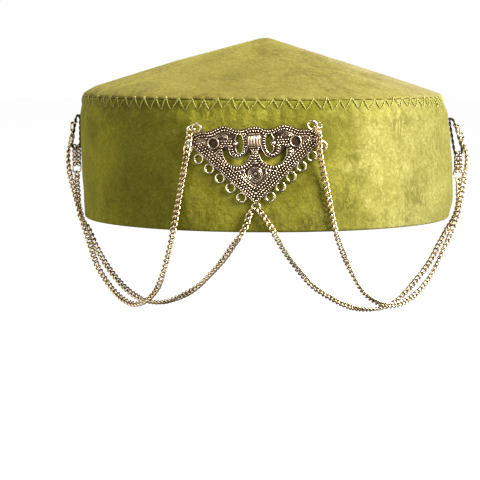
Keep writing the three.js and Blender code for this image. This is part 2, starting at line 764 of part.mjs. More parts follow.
function chainTube({ wall, free }) {
  const places = [...wall.map(onWall), ...free.map(({ x, y, z }) => new THREE.Vector3(x, y, z))];
  const path = new THREE.CatmullRomCurve3(places, false, 'centripetal');
  const section = new THREE.Shape();
  for (let i = 0; i < CHAIN_SIDES; i += 1) {
    const angle = (2 * Math.PI * i) / CHAIN_SIDES;
    const corner = [Math.cos(angle), Math.sin(angle)].map((share) => (share * CHAIN_DIAMETER) / 2);
    if (i === 0) section.moveTo(...corner);
    else section.lineTo(...corner);
  }
  section.closePath();
  const steps = Math.round(path.getLength() / CHAIN_STEP);
  return new THREE.ExtrudeGeometry(section, { steps, bevelEnabled: false, extrudePath: path });
}

addPiece('side_band', bandGeometry(), 'olive');
addPiece('crown', crownGeometry(), 'khaki');
placeOnFront(addPiece('plaque', plaqueGeometry(), 'bronze'));
addPiece('jump_ring_left', jumpRing(-CORNER_RING.x), 'gold');
addPiece('jump_ring_right', jumpRing(CORNER_RING.x), 'gold');
for (const chain of CHAINS) addPiece(chain.name, chainTube(chain), 'gold');
for (const side of SIDES) {
  addPiece(`thread_loop_${side.name}`, threadLoop(side), 'thread');
  addPiece(`eye_ring_${side.name}`, eyeRing(side), 'gold');
  addPiece(`oval_link_${side.name}`, ovalLink(side), 'gold');
  addPiece(`gather_ring_${side.name}`, gatherRing(side), 'gold');
  addPiece(`side_chain_front_${side.name}`, sideChain(side, -SIDE_CHAIN_OFFSET), 'gold');
  addPiece(`side_chain_back_${side.name}`, sideChain(side, SIDE_CHAIN_OFFSET), 'gold');
}

export default hat;
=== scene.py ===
"""Looks of a velvet pillbox hat: nap, stitched seam, pierced bronze plaque, curb chains and side fittings.

Metres, +Z up, the plaque facing -Y. Lengths are in millimetres until they become vertices.
"""

import math

import bmesh
import bpy
import numpy as np
from mathutils import Matrix, Vector


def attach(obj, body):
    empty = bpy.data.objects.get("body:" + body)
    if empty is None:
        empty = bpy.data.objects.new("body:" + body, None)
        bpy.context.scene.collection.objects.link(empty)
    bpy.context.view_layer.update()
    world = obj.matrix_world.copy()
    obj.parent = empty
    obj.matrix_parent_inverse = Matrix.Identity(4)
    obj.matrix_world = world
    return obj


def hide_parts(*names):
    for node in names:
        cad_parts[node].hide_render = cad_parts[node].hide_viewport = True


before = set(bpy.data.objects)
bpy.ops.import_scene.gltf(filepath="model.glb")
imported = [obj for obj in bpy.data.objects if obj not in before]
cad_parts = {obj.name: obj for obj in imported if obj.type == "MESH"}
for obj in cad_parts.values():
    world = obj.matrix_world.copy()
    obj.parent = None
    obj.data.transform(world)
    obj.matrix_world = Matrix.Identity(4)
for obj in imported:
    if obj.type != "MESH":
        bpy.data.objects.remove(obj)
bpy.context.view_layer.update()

MM = 0.001
FULL = 2 * math.pi
rng = np.random.default_rng(7)

# Cloth, as in the solids
CLOTH = 2.5
BAND_HEIGHT = 60
SEAM_RADIUS = 89.4
SHOULDER = 2.8
CROWN_SLOPE = math.radians(16.85)
APEX_FLAT = 3.0
# The wall's outside: height, then its radius at the front, the left and the right
BAND_SECTIONS = (
    (0, 91.2, 90.3, 91.6),
    (10, 91.7, 90.8, 93.4),
    (24, 91.8, 91.6, 93.0),
    (38, 91.5, 92.0, 92.0),
    (50, 90.8, 92.0, 90.6),
    (60, 89.4, 90.7, 87.2),
)
# Azimuth in degrees, height, half width in degrees, half height, depth
BAND_DENTS = (
    (27, 34, 9, 13, 1.0),
    (46, 24, 10, 15, 1.3),
    (-58, 34, 14, 16, 0.8),
    (150, 30, 16, 14, 1.2),
    (-140, 26, 14, 16, 1.0),
)

# Cloth, in the looks alone: the crown's tight bend at the seam, the wall's rolled edge, soft swells and folds
EDGE_BEND = 1.2
OUTER_SLOPE = math.radians(17.5)
SEAM_GAP = 0.25
ROLL = 0.5
APEX_RADII = (2.3, 1.6, 0.95, 0.4)
APEX_RISE = 0.05
WALL_WAVES = {"seed": 3, "size": 0.22}
CROWN_WAVES = {"seed": 11, "size": 0.32, "high": 12, "tall": 0.05}
CROWN_FULLNESS = 2.1

# Stitches along the seam, and the cloth that they draw in
STITCHES = 89
STITCH_LOW = 55.4
STITCH_HIGH = 60.6
STITCH_THREAD, STITCH_TWISTS = 0.26, 2.5
STITCH_SUNK, STITCH_STAND = 0.3, 0.72
HOLE_WIDTH = 0.16
COLUMNS = STITCHES * 8
# How far a stitch's ends wander: in radians round the hat, and up or down
STITCH_JITTER = (0.008, 0.65)

# Plaque, in its own flat frame with the tip at 0, 0
PLAQUE_TIP = (-4.2, 14.0)
PLAQUE_TILT = math.radians(1.6)
PLAQUE_RADIUS = 92.2
PLAQUE_TURN = math.asin(PLAQUE_TIP[0] / PLAQUE_RADIUS)
PLATE = 1.3
BEVEL = 0.2
HALF_WIDTH, CORNER_HEIGHT = 29.8, 26.9
LOW_POINT = -0.7
PLATE_HALF = (
    (0, LOW_POINT), (HALF_WIDTH, CORNER_HEIGHT), (29.5, 30.2), (26.0, 32.2), (20.5, 32.5), (17.0, 34.0),
    (14.1, 34.9), (11.2, 34.2), (8.4, 33.0), (4.6, 33.0), (2.4, 34.0), (0, 34.3),
)
EDGE_LENGTH = math.hypot(HALF_WIDTH, CORNER_HEIGHT - LOW_POINT)
EDGE = (HALF_WIDTH / EDGE_LENGTH, (CORNER_HEIGHT - LOW_POINT) / EDGE_LENGTH)
EDGE_ANGLE = math.atan2(EDGE[1], EDGE[0])

# Relief: the openings and what stands round them, on the plaque's right half
BOSS = (18.7, 27.1)
LOW_BOSS = (0, 12.8)
SCROLL = (8.2, 22.9)
CRESCENT = {"outer": 6.3, "inner": 3.9, "flare": 1.6, "raised": 1}
# Radii round the scroll's centre: thin line, start of the ribs, where their pitch is kept, outer beads
SCROLL_RADII = {"line": 6.4, "ribs": 6.5, "pitch": 7.2, "beads": 8.75}
SHOULDER_LEAF, CORNER_LEAF, HOOK = (14.8, 29.2), (23.9, 27.0), (15.9, 22.2)
KIDNEY = (6.9, 26.6)
KIDNEY_HALF = (1.8, 4.4)
EYE_KNOB, EYE_KNOB_RADIUS = 8.6, 1.4
CURL = ((5.9, 31.9), (4.5, 29.8), (4.05, 26.9), (4.5, 24.2), (5.9, 22.1), (7.8, 21.1), (9.4, 21.7),
        (10.4, 23.5), (10.6, 25.4))
BARREL = {"z": 27.9, "half_width": 3.1, "half_height": 2.75, "depth": 2.3}
BEAD_PITCH = 1.22
BEAD_STEP = 1.26
BEAD_ROWS = 7
BEAD_SINK = 0.08
BAR_SINK = 0.1
DOME_TURNS, DOME_RINGS = 9, 3

# Rings of the plaque
SOLDERED_WIRE = 0.5
SOLDER_RADIUS = 0.62
EDGE_RINGS = {"radius": 2.05, "count": 6, "first": 6.7, "pitch": 6.55, "stand_off": 2.2}
CORNER_RING = {"x": 26.2, "z": 34.0, "radius": 1.95, "depth": 1.3}
TIP_RING = {"z": -2.2, "radius": 1.75}
JUMP_RING = {"radius": 1.9, "across": 0.62, "depth": 1.35, "tilt": math.radians(36), "gap": 0.06}
WIRE = 0.35

# Chains: (x, z, distance off the wall) down the wall, then (x, y, z) below the rim
CHAINS = {
    "chain_left_outer": (
        ((-34.4, 44.4, 4.3), (-35.4, 38, 4.2), (-37.2, 28, 2.6), (-39, 18, 1.8), (-40.8, 8, 1.8),
         (-42.2, 1, 1.8)),
        ((-43.6, -80.8, -6), (-46.6, -76.6, -17.5), (-50.5, -71.5, -28), (-56.5, -63.5, -35),
         (-62.5, -55.5, -37.5), (-69, -47, -35.8), (-76, -37.5, -30), (-82, -30, -22), (-86.5, -23.6, -10.5),
         (-89.8, -19, -2), (-92, -16, 5), (-94.2, -12.5, 11.5), (-96.4, -8.5, 18), (-98.1, -5.4, 25),
         (-98.4, -3.8, 31.5), (-97.9, -2.6, 35.2), (-97, -1.7, 37.9), (-96.6, -1.5, 41.5)),
    ),
    "chain_left_inner": (
        ((-7.2, 8.6, 2.0), (-9.2, 2.5, 1.8), (-11.2, -1, 2.5)),
        ((-13.9, -90.2, -4.8), (-19, -84.6, -12.6), (-24.5, -78.2, -19.6), (-32, -69.6, -27.6),
         (-40.5, -61, -33.4), (-49, -52.4, -37), (-57, -44.4, -37.4), (-64.5, -36.8, -35),
         (-72, -29.4, -29.2), (-78.5, -22.6, -21.8), (-83.5, -17.6, -14), (-87.5, -13.6, -5.5),
         (-91.7, -11.2, 0), (-92.8, -9.5, 6), (-93.5, -6.5, 12), (-94.3, -2.6, 17), (-94.4, -0.6, 20.4)),
    ),
    "chain_right_outer": (
        ((23.9, 45.2, 4.8), (24.4, 41.5, 4.7), (24.4, 37.5, 4.5), (25.4, 31, 3.5), (27.2, 22.5, 2.1),
         (29, 14.5, 1.8), (31.6, 2, 2.0)),
        ((34.3, -84.6, -6.3), (39.6, -78, -19.3), (45.1, -71.7, -29), (51.5, -64.3, -34.8),
         (58, -56.8, -37.8), (64.5, -49.2, -38), (71, -41.5, -35.6), (77, -34.8, -30.8),
         (82, -29, -24.5), (86, -24.4, -17), (89.6, -20, -10.5), (92.4, -17, -4), (94.8, -14.2, 2),
         (96.2, -12.5, 8), (97.4, -10.5, 14), (98.8, -8, 21), (99.8, -6, 27), (99.8, -4.4, 31.5),
         (99, -3, 34.6), (97.7, -2, 36.6), (97.3, -1.8, 40.2)),
    ),
    "chain_right_inner": (
        ((-1.5, 8.7, 2.0), (1.5, 4.2, 1.9)),
        ((4.5, -92.8, -0.8), (9.3, -88.4, -9.4), (15.3, -82.3, -18.1), (22, -76, -26.2), (29.7, -68.8, -32.2),
         (37.5, -61.5, -37), (45.5, -54, -40), (53, -47, -41), (60, -40.4, -39.8), (67, -33.8, -35.6),
         (74, -27.2, -29), (80.5, -21.2, -21.5), (85.5, -16.5, -13), (89.5, -13.2, -6), (93.4, -10.8, 0.5),
         (95.4, -8.5, 6), (96, -5, 11.5), (96.4, -1, 17.4)),
    ),
}
CURB = {"half": 1.78, "across": 1.15, "wire": 0.44, "pitch": 2.55, "twist": math.radians(58)}
FINE_CURB = {"half": 1.4, "across": 0.88, "wire": 0.4, "twist": math.radians(62)}
# How a hanging chain's links turn: drift, sway and scatter in radians, the sway's length and ease in mm
LINK_TURNS = {"drift": 0.12, "sway": 0.85, "length": 11, "ease": 8, "scatter": 0.07}

# Fittings at both sides, as in the solids
SIDES = {
    "left": {"sign": -1, "wall": 92.0, "top": 50, "x": 94.6, "z": 24, "width": 4.7, "height": 6.0},
    "right": {"sign": 1, "wall": 90.9, "top": 48.5, "x": 96.4, "z": 21, "width": 5.5, "height": 5.6},
}
SIDE_LINK_PITCH = 2.5
SIDE_LINKS = 4
SIDE_LINK_REACH = 1.55
SIDE_OFFSET = 1.05
LINK_SEAT = 0.05
WIRE_PLAY = 0.2
THREAD_WIDTH, THREAD_WIRE, THREAD_TOP_SHARE = 5.0, 0.3, 0.45
THREAD_PLIES = {"radius": 0.66, "turns": 7, "sides": 7}
SEWING_THREAD = 0.2
EYE_DROP = 3.6
EYE_WIDTH, EYE_WIRE = 3.6, 0.3
EYE_TILT, EYE_TURN = math.radians(20), math.radians(45)
OVAL_WIDTH, OVAL_LENGTH = 2.5, 5.2


# Meshes

def moved(faces, by):
    return [tuple(i + by for i in face) for face in faces]


class Parts:
    """Gathers many small closed forms into one mesh."""

    def __init__(self):
        self.verts, self.faces, self.count = [], [], 0

    def add(self, verts, faces):
        self.verts.append(np.asarray(verts, float))
        self.faces += moved(faces, self.count)
        self.count += len(verts)

    def build(self, name, material, bend=lambda verts: verts):
        return mesh_object(name, bend(np.concatenate(self.verts)), self.faces, material)


def mesh_object(name, verts, faces, *materials):
    mesh = bpy.data.meshes.new(name)
    mesh.from_pydata((np.asarray(verts) * MM).tolist(), [], faces)
    mesh.validate()
    for material in materials:
        mesh.materials.append(material)
    mesh.polygons.foreach_set("use_smooth", [True] * len(mesh.polygons))
    piece = bpy.data.objects.new(name, mesh)
    bpy.context.scene.collection.objects.link(piece)
    fix = bmesh.new()
    fix.from_mesh(mesh)
    bmesh.ops.recalc_face_normals(fix, faces=fix.faces)
    fix.to_mesh(mesh)
    fix.free()
    return piece


def paint(piece, first, last):
    """Gives a run of faces the second material."""
    for poly in piece.data.polygons[first:last]:
        poly.material_index = 1


def unit(v):
    return v / np.maximum(np.linalg.norm(v, axis=-1, keepdims=True), 1e-12)


def angles_round(count):
    return np.arange(count) * FULL / count


def grid_faces(rows, cols, close_rows, close_cols):
    faces = []
    for i in range(rows if close_rows else rows - 1):
        low, high = i * cols, ((i + 1) % rows) * cols
        for k in range(cols if close_cols else cols - 1):
            after = (k + 1) % cols
            faces.append((low + k, low + after, high + after, high + k))
    return faces


def sweep(path, across, up, profile, closed):
    """Carries a closed profile [(a, b)] along a path with the given side and up directions."""
    n, m = len(path), len(profile)
    verts = (path[:, None, :] + across[:, None, :] * profile[None, :, 0:1]
             + up[:, None, :] * profile[None, :, 1:2]).reshape(-1, 3)
    faces = grid_faces(n, m, closed, True)
    if not closed:
        faces += [tuple(range(m))[::-1], tuple((n - 1) * m + k for k in range(m))]
    return verts, faces


def circle(radius, sides):
    angle = angles_round(sides)
    return np.stack([radius * np.cos(angle), radius * np.sin(angle)], 1)


def carried_frames(path):
    """Side and up directions that don't spin as they follow an open path."""
    along = unit(np.gradient(path, axis=0))
    up = np.array([0.0, 0, 1])
    if abs(along[0][2]) > 0.95:
        up = np.array([1.0, 0, 0])
    ups = []
    for t in along:
        up = unit(up - np.dot(up, t) * t)
        ups.append(up)
    return np.cross(along, ups), np.array(ups)


def loop_frames(path, centre):
    """Directions out from a closed path's centre and beside it, both square to the path."""
    along = unit(np.roll(path, -1, 0) - np.roll(path, 1, 0))
    out = path - centre
    out = unit(out - np.sum(out * along, 1, keepdims=True) * along)
    return out, np.cross(along, out)


def tube(path, radius, sides):
    return sweep(path, *carried_frames(path), circle(radius, sides), False)


def loop_tube(path, centre, radius, sides):
    return sweep(path, *loop_frames(path, centre), circle(radius, sides), True)


def two_ply(path, radius, turns, sides, centre=None):
    """Two strands twisted round each other along a path, which is closed where a centre is given."""
    closed = centre is not None
    if closed:
        up, across = loop_frames(path, centre)
    else:
        across, up = carried_frames(path)
    share = np.arange(len(path)) / (len(path) if closed else len(path) - 1)
    strands = []
    for start in (0, math.pi):
        angle = start + FULL * turns * share
        shift = across * np.cos(angle)[:, None] + up * np.sin(angle)[:, None]
        strands.append(sweep(path + shift * radius * 0.5, across, up, circle(radius * 0.56, sides), closed))
    return strands


def way_along(path):
    """The distance along a path at each of its points."""
    return np.concatenate([[0], np.cumsum(np.linalg.norm(np.diff(path, axis=0), axis=1))])


def points_at(path, way, at):
    return np.stack([np.interp(at, way, path[:, i]) for i in range(path.shape[1])], 1)


def catmull(points, steps=24):
    """The centripetal curve through points that the solids' chains follow."""
    pts = np.vstack([2 * points[0] - points[1], points, 2 * points[-1] - points[-2]])
    out = []
    for i in range(1, len(pts) - 2):
        p0, p1, p2, p3 = pts[i - 1:i + 3]
        d0, d1, d2 = (math.sqrt(np.linalg.norm(b - a)) for a, b in ((p0, p1), (p1, p2), (p2, p3)))
        t1 = ((p1 - p0) / d0 - (p2 - p0) / (d0 + d1) + (p2 - p1) / d1) * d1
        t2 = ((p2 - p1) / d1 - (p3 - p1) / (d1 + d2) + (p3 - p2) / d2) * d1
        for s in np.arange(steps) / steps:
            out.append((2 * s ** 3 - 3 * s ** 2 + 1) * p1 + (s ** 3 - 2 * s ** 2 + s) * t1
                       + (-2 * s ** 3 + 3 * s ** 2) * p2 + (s ** 3 - s ** 2) * t2)
    out.append(pts[-2])
    return np.array(out)


# Outline of the cloth

def held(share):
    return np.clip(share, 0, 1)


def smooth(share):
    return share * share * (3 - 2 * share)


def bell(share):
    return np.exp(-np.square(share))


def ring_place(azimuth, radius, z):
    return np.stack(np.broadcast_arrays(radius * np.sin(azimuth), -radius * np.cos(azimuth), z), -1)


def section_at(height):
    rows = np.array(BAND_SECTIONS, float)
    height = np.clip(height, 0, BAND_HEIGHT)
    row = np.clip(np.searchsorted(rows[:, 0], height, side="left") - 1, 0, len(rows) - 2)
    low, high = rows[row], rows[row + 1]
    share = smooth((height - low[..., 0]) / (high[..., 0] - low[..., 0]))[..., None]
    return (low + (high - low) * share)[..., 1:]


def roundness(azimuth, height):
    front, left, right = np.moveaxis(section_at(np.broadcast_to(height, np.shape(azimuth))), -1, 0)
    side = np.sin(azimuth)
    return front + (np.where(side > 0, right, left) - front) * side * side


def waves(azimuth, level, seed, size, high=18, tall=0.09, count=14):
    """Soft uneven swell, periodic round the hat."""
    local = np.random.default_rng(seed)
    total = np.zeros(np.shape(azimuth))
    for _ in range(count):
        turns = local.integers(2, high)
        phase = turns * azimuth + local.uniform(0, 6.3) + level * local.uniform(-tall, tall)
        total += np.sin(phase) / math.sqrt(turns)
    return size * total / math.sqrt(count)


def pucker(azimuth, height):
    """The needle holes draw the cloth in at both ends of every stitch, and it swells between them."""
    phase = azimuth * STITCHES / FULL

    def hole(shift, level, tall, depth):
        away = phase - shift - np.round(phase - shift)
        return depth * bell(away / HOLE_WIDTH) * bell((height - level) / tall)

    uneven = 0.75 + 0.25 * np.sin(7 * azimuth + 1) * np.sin(23 * azimuth)
    swell = 0.16 * np.cos(phase * FULL) * bell((height - STITCH_LOW + 3) / 3.8)
    return -uneven * (hole(0, STITCH_LOW, 1.3, 0.5) + hole(0.5, STITCH_HIGH, 1.2, 0.7) + swell)


def band_wall(azimuth, z):
    radius = roundness(azimuth, z)
    for turn, level, span, tall, depth in BAND_DENTS:
        away = (np.degrees(azimuth) - turn + 180) % 360 - 180
        radius = radius - depth * bell(away / span) * bell((z - level) / tall)
    return radius


def band_outer(azimuth, z):
    fade = held(z / 8) * held((BAND_HEIGHT - z) / 8)
    swell = waves(azimuth, z, **WALL_WAVES) * (0.35 + 0.65 * fade)
    return band_wall(azimuth, z) + swell + pucker(azimuth, z)


def bend_rows(base, size, start, end, steps):
    """(height, inset) round a bend of the cloth's edge."""
    return [(base + size * math.sin(a), size - size * math.cos(a)) for a in np.linspace(start, end, steps)]


def velvet_band(outside, inside):
    """The wall: a rounded hem, the outer face with its dents and swells, the rolled edge and the inside."""
    azimuth = angles_round(COLUMNS)
    half = CLOTH / 2
    top = BAND_HEIGHT - SEAM_GAP
    # The rows stand closer near the seam, where the stitches draw in the cloth.
    heights = np.concatenate([np.linspace(half, 50, 30), np.linspace(50.9, top - ROLL, 14)])
    outer = bend_rows(half, half, -math.pi / 2, 0, 6)[:-1] + [(z, 0) for z in heights]
    outer += bend_rows(top - ROLL, ROLL, 0, math.pi / 2, 5)[1:]
    inner = [(z, CLOTH) for z in (top, *np.linspace(top - 0.6, half, 14))]
    inner += bend_rows(half, half, math.pi, 1.5 * math.pi, 5)[1:-1]
    verts = []
    for rows, wall in ((outer, band_outer), (inner, band_wall)):
        for z, inset in rows:
            verts.append(ring_place(azimuth, wall(azimuth, min(max(z, 0), top)) - inset, z))
    count = len(verts)
    faces = grid_faces(count, COLUMNS, True, True)
    piece = mesh_object("velvet_band", np.concatenate(verts), faces, outside, inside)
    paint(piece, len(outer) * COLUMNS, (count - 1) * COLUMNS)
    return piece


def crown_profile(seat, bend, slope, arc_steps, slope_steps):
    """(radius, rise) from the seam inwards: a small bend, a straight slope and a blunt apex."""
    rows = [(seat - bend + bend * math.cos(a), bend * math.sin(a))
            for a in np.linspace(0, math.pi / 2 - slope, arc_steps)]
    edge, rise = rows[-1]
    fall = math.tan(slope)
    down = np.linspace(edge, APEX_FLAT, slope_steps)[1:]
    rows += [(radius, rise + (edge - radius) * fall) for radius in down]
    base = rows[-1][1]
    for radius in APEX_RADII:
        rows.append((radius, base + (APEX_FLAT - radius) * fall * (0.4 + 0.4 * radius / APEX_FLAT)))
    return rows


def crown_lift(azimuth, radius):
    """Broad soft folds of the crown and its fuller left side, dying away at the seam and the apex."""
    share = radius / SEAM_RADIUS
    fade = held((1 - share) / 0.12) * held(share / 0.1)
    full = held(-np.sin(azimuth)) ** 2 * held((1 - share) / 0.07) ** 0.6 * held(share / 0.5)
    return fade * waves(azimuth, radius, **CROWN_WAVES) + CROWN_FULLNESS * full


def velvet_crown(outside, inside):
    """The crown: its outer face, drawn in along the seam, the inside, and the edge between them."""
    azimuth = angles_round(COLUMNS)
    scale = roundness(azimuth, BAND_HEIGHT) / SEAM_RADIUS
    outer = crown_profile(SEAM_RADIUS, EDGE_BEND, OUTER_SLOPE, 8, 48)
    inner = crown_profile(SEAM_RADIUS - CLOTH, SHOULDER - CLOTH, CROWN_SLOPE, 4, 10)[::-1]
    drawn = pucker(azimuth, STITCH_HIGH)
    swell = 0.35 * waves(azimuth, BAND_HEIGHT, **WALL_WAVES)
    verts = []
    for radius, rise in outer:
        edge = bell((SEAM_RADIUS - radius) / 2.2)
        tuck = 0.2 * bell(rise / 0.4)
        place = radius * scale - tuck + edge * (pucker(azimuth, BAND_HEIGHT + rise) + swell)
        level = BAND_HEIGHT + rise + crown_lift(azimuth, radius) + 0.9 * edge * drawn
        verts.append(ring_place(azimuth, place, level))
    for radius, rise in inner:
        verts.append(ring_place(azimuth, radius * scale, BAND_HEIGHT + rise))
    tops = [[0, 0, BAND_HEIGHT + rise + APEX_RISE] for rise in (outer[-1][1], inner[0][1])]
    first_inner = len(outer) * COLUMNS
    last_outer = first_inner - COLUMNS
    top = len(verts) * COLUMNS
    last_inner = top - COLUMNS
    faces = grid_faces(len(outer), COLUMNS, False, True)
    inner_from = len(faces)
    faces += moved(grid_faces(len(inner), COLUMNS, False, True), first_inner)
    pairs = [(k, (k + 1) % COLUMNS) for k in range(COLUMNS)]
    faces += [(first_inner + k, top + 1, first_inner + after) for k, after in pairs]
    inner_to = len(faces)
    for k, after in pairs:
        faces += [(last_outer + k, last_outer + after, top), (last_inner + k, last_inner + after, after, k)]
    piece = mesh_object("velvet_crown", np.concatenate(verts + [tops]), faces, outside, inside)
    paint(piece, inner_from, inner_to)
    return piece


# Zigzag stitches

def seam_surface(azimuth, height, lift):
    """A point on the cloth beside the seam, lifted off it."""
    below = band_outer(azimuth, np.minimum(height, BAND_HEIGHT - 0.3))
    rise = np.clip(height - BAND_HEIGHT, 0, EDGE_BEND - 0.1)
    bend = EDGE_BEND * np.cos(np.arcsin(rise / EDGE_BEND))
    above = (SEAM_RADIUS - EDGE_BEND + bend) * roundness(azimuth, BAND_HEIGHT) / SEAM_RADIUS
    blend = smooth(held((height - BAND_HEIGHT + 1.2) / 2.4))
    return ring_place(azimuth, below + (above - below) * blend + lift, height)


def zigzag(material):
    parts = Parts()
    share = np.linspace(0, 1, 12)
    # Each stitch starts and ends inside the cloth and stands off it between.
    lift = -STITCH_SUNK + STITCH_STAND * np.sin(math.pi * share) ** 0.45
    jitter = rng.uniform(-1, 1, (2 * STITCHES, 2)) * STITCH_JITTER
    for k in range(2 * STITCHES):
        ends = []
        for index in (k, (k + 1) % (2 * STITCHES)):
            turn = math.pi * index / STITCHES + (FULL if index < k else 0)
            level = STITCH_LOW if index % 2 == 0 else STITCH_HIGH
            ends.append((turn + jitter[index, 0], level + jitter[index, 1]))
        (a0, z0), (a1, z1) = ends
        path = seam_surface(a0 + (a1 - a0) * share, z0 + (z1 - z0) * share, lift)
        for strand in two_ply(path, STITCH_THREAD, STITCH_TWISTS, 6):
            parts.add(*strand)
    return parts.build("zigzag_stitch", material)


# Plaque, flat

def tilted(x, z):
    cos, sin = math.cos(PLAQUE_TILT), math.sin(PLAQUE_TILT)
    return x * cos - z * sin, x * sin + z * cos


def on_plaque(points):
    """Flat plaque points (across, up, depth) to their place on the front of the band."""
    points = np.asarray(points, float)
    x, z = tilted(points[:, 0], points[:, 1])
    y = -np.sqrt((PLAQUE_RADIUS + points[:, 2]) ** 2 - x ** 2)
    cos, sin = math.cos(PLAQUE_TURN), math.sin(PLAQUE_TURN)
    return np.stack([x * cos - y * sin, x * sin + y * cos, z + PLAQUE_TIP[1]], 1)


def along_edge(side, along, inset):
    return side * (EDGE[0] * along - EDGE[1] * inset), LOW_POINT + EDGE[1] * along + EDGE[0] * inset


def mirror(side, points):
    return [(side * x, z) for x, z in points]


def whole(half):
    """The right half of an outline and its mirror image."""
    return [*half, *((-x, z) for x, z in half[::-1] if x > 0)]


def kidney(side, grow=0.0):
    points = []
    for angle in angles_round(40):
        x = KIDNEY[0] + (KIDNEY_HALF[0] + grow) * math.cos(angle)
        z = (KIDNEY_HALF[1] + grow) * math.sin(angle)
        reach = (EYE_KNOB_RADIUS - grow) ** 2 - z ** 2
        if reach > 0:
            x = min(x, EYE_KNOB - math.sqrt(reach))
        points.append((side * x, KIDNEY[1] + z))
    return points


def round_scroll(side, radius, angle):
    return side * (SCROLL[0] - radius * math.cos(angle)), SCROLL[1] + radius * math.sin(angle)


def crescent(side):
    """An opening between two arcs, the inner one set higher and wider at its ends."""
    outer, inner = [], []
    for share in np.linspace(0, 1, 27):
        angle = math.radians(-190 + 185 * share)
        x, z = round_scroll(side, CRESCENT["inner"] + CRESCENT["flare"] * abs(2 * share - 1) ** 3, angle)
        outer.append(round_scroll(side, CRESCENT["outer"], angle))
        inner.append((x, z + CRESCENT["raised"]))
    return outer + inner[::-1]


def rounded(points, passes):
    """Corner cutting that keeps an outline's run but softens its corners."""
    for _ in range(passes):
        fresh = []
        for i, (x, z) in enumerate(points):
            nx, nz = points[(i + 1) % len(points)]
            part = min(0.25, 1.2 / max(math.hypot(nx - x, nz - z), 1e-6))
            fresh.append((x + (nx - x) * part, z + (nz - z) * part))
            fresh.append((nx + (x - nx) * part, nz + (z - nz) * part))
        points = fresh
    return points


def plate_mesh(material):
    """The pierced plate: filled outline, bevelled, cut into strips and bent round the band."""
    curve = bpy.data.curves.new("plate_outline", "CURVE")
    curve.dimensions = "2D"
    curve.fill_mode = "BOTH"
    for loop in (rounded(whole(PLATE_HALF), 3), kidney(-1), crescent(-1), kidney(1), crescent(1)):
        spline = curve.splines.new("POLY")
        spline.points.add(len(loop) - 1)
        for point, (x, z) in zip(spline.points, loop):
            point.co = (x, z, 0, 1)
        spline.use_cyclic_u = True
    curve.extrude = PLATE / 2 - BEVEL
    curve.bevel_depth = BEVEL
    curve.bevel_resolution = 2
    curve.offset = -BEVEL
    holder = bpy.data.objects.new("plate_outline", curve)
    bpy.context.scene.collection.objects.link(holder)
    bpy.context.view_layer.update()
    flat = bpy.data.meshes.new_from_object(holder.evaluated_get(bpy.context.evaluated_depsgraph_get()))
    bpy.data.objects.remove(holder)
    cut = bmesh.new()
    cut.from_mesh(flat)
    bmesh.ops.remove_doubles(cut, verts=cut.verts, dist=0.001)
    for x in range(-29, 30):
        bmesh.ops.bisect_plane(cut, geom=cut.verts[:] + cut.edges[:] + cut.faces[:], plane_co=(x, 0, 0),
                               plane_no=(1, 0, 0))
    bmesh.ops.triangulate(cut, faces=cut.faces)
    verts = np.array([v.co[:] for v in cut.verts])
    verts[:, 2] += PLATE / 2
    faces = [tuple(v.index for v in f.verts) for f in cut.faces]
    cut.free()
    piece = mesh_object("plaque_plate", on_plaque(verts), faces, material)
    piece.data.polygons.foreach_set("use_smooth", [False] * len(faces))
    return piece


# Relief of the plaque

def flat_run(points, step, closed=False):
    """Even points along a flat polyline, with their directions."""
    pts = np.asarray(points, float)
    if closed:
        pts = np.vstack([pts, pts[:1]])
    way = way_along(pts)
    at = np.linspace(0, way[-1], max(2, int(round(way[-1] / step))), endpoint=not closed)
    ahead = points_at(pts, way, np.minimum(at + 0.05, way[-1]))
    behind = points_at(pts, way, np.maximum(at - 0.05, 0))
    return points_at(pts, way, at), unit(ahead - behind)


def spline_run(points):
    """A smooth flat curve through a few points."""
    return flat_run(catmull(np.array(points, float)), 0.35)[0]


def bar(parts, points, half, height, closed=False, step=0.35, sides=6):
    """A raised half-round bar on the plate."""
    run, along = flat_run(points, step, closed)
    path = np.column_stack([run, np.full(len(run), PLATE - BAR_SINK)])
    across = np.column_stack([-along[:, 1], along[:, 0], np.zeros(len(run))])
    up = np.tile([0.0, 0, 1], (len(run), 1))
    angle = np.linspace(0, math.pi, sides)
    profile = np.stack([half * np.cos(angle), height * np.sin(angle)], 1)
    parts.add(*sweep(path, across, up, np.vstack([profile, [[-half, -0.3], [half, -0.3]]]), closed))


def ring_bar(parts, x, z, radius, half, height, sides=8, steps=44):
    points = [(x + radius * math.cos(a), z + radius * math.sin(a)) for a in angles_round(steps)]
    bar(parts, points, half, height, True, FULL * radius / steps, sides)


def dome(parts, x, z, long, wide, angle, height):
    """A raised bead on the plate: half an ellipsoid, its length turned to an angle."""
    base = PLATE - BEAD_SINK
    turn = angles_round(DOME_TURNS)
    rings = []
    for i in range(DOME_RINGS + 1):
        level = math.pi / 2 * i / (DOME_RINGS + 0.6)
        a, b = long * math.cos(level) * np.cos(turn), wide * math.cos(level) * np.sin(turn)
        rings.append(np.stack([x + a * math.cos(angle) - b * math.sin(angle),
                               z + a * math.sin(angle) + b * math.cos(angle),
                               np.full(DOME_TURNS, base + height * math.sin(level))], 1))
    faces = grid_faces(DOME_RINGS + 1, DOME_TURNS, False, True)
    last = DOME_RINGS * DOME_TURNS
    faces += [(last + k, last + (k + 1) % DOME_TURNS, last + DOME_TURNS) for k in range(DOME_TURNS)]
    faces.append(tuple(range(DOME_TURNS))[::-1])
    parts.add(np.vstack(rings + [[[x, z, base + height]]]), faces)


def bead_row(parts, points, pitch, long, wide, height, slant):
    """Beads along a flat line, turned from it by a slant. Slanted long beads read as a rope."""
    run, along = flat_run(points, pitch)
    for (x, z), (dx, dz) in zip(run, along):
        dome(parts, x, z, long, wide, math.atan2(dz, dx) + slant, height)
    return run, along


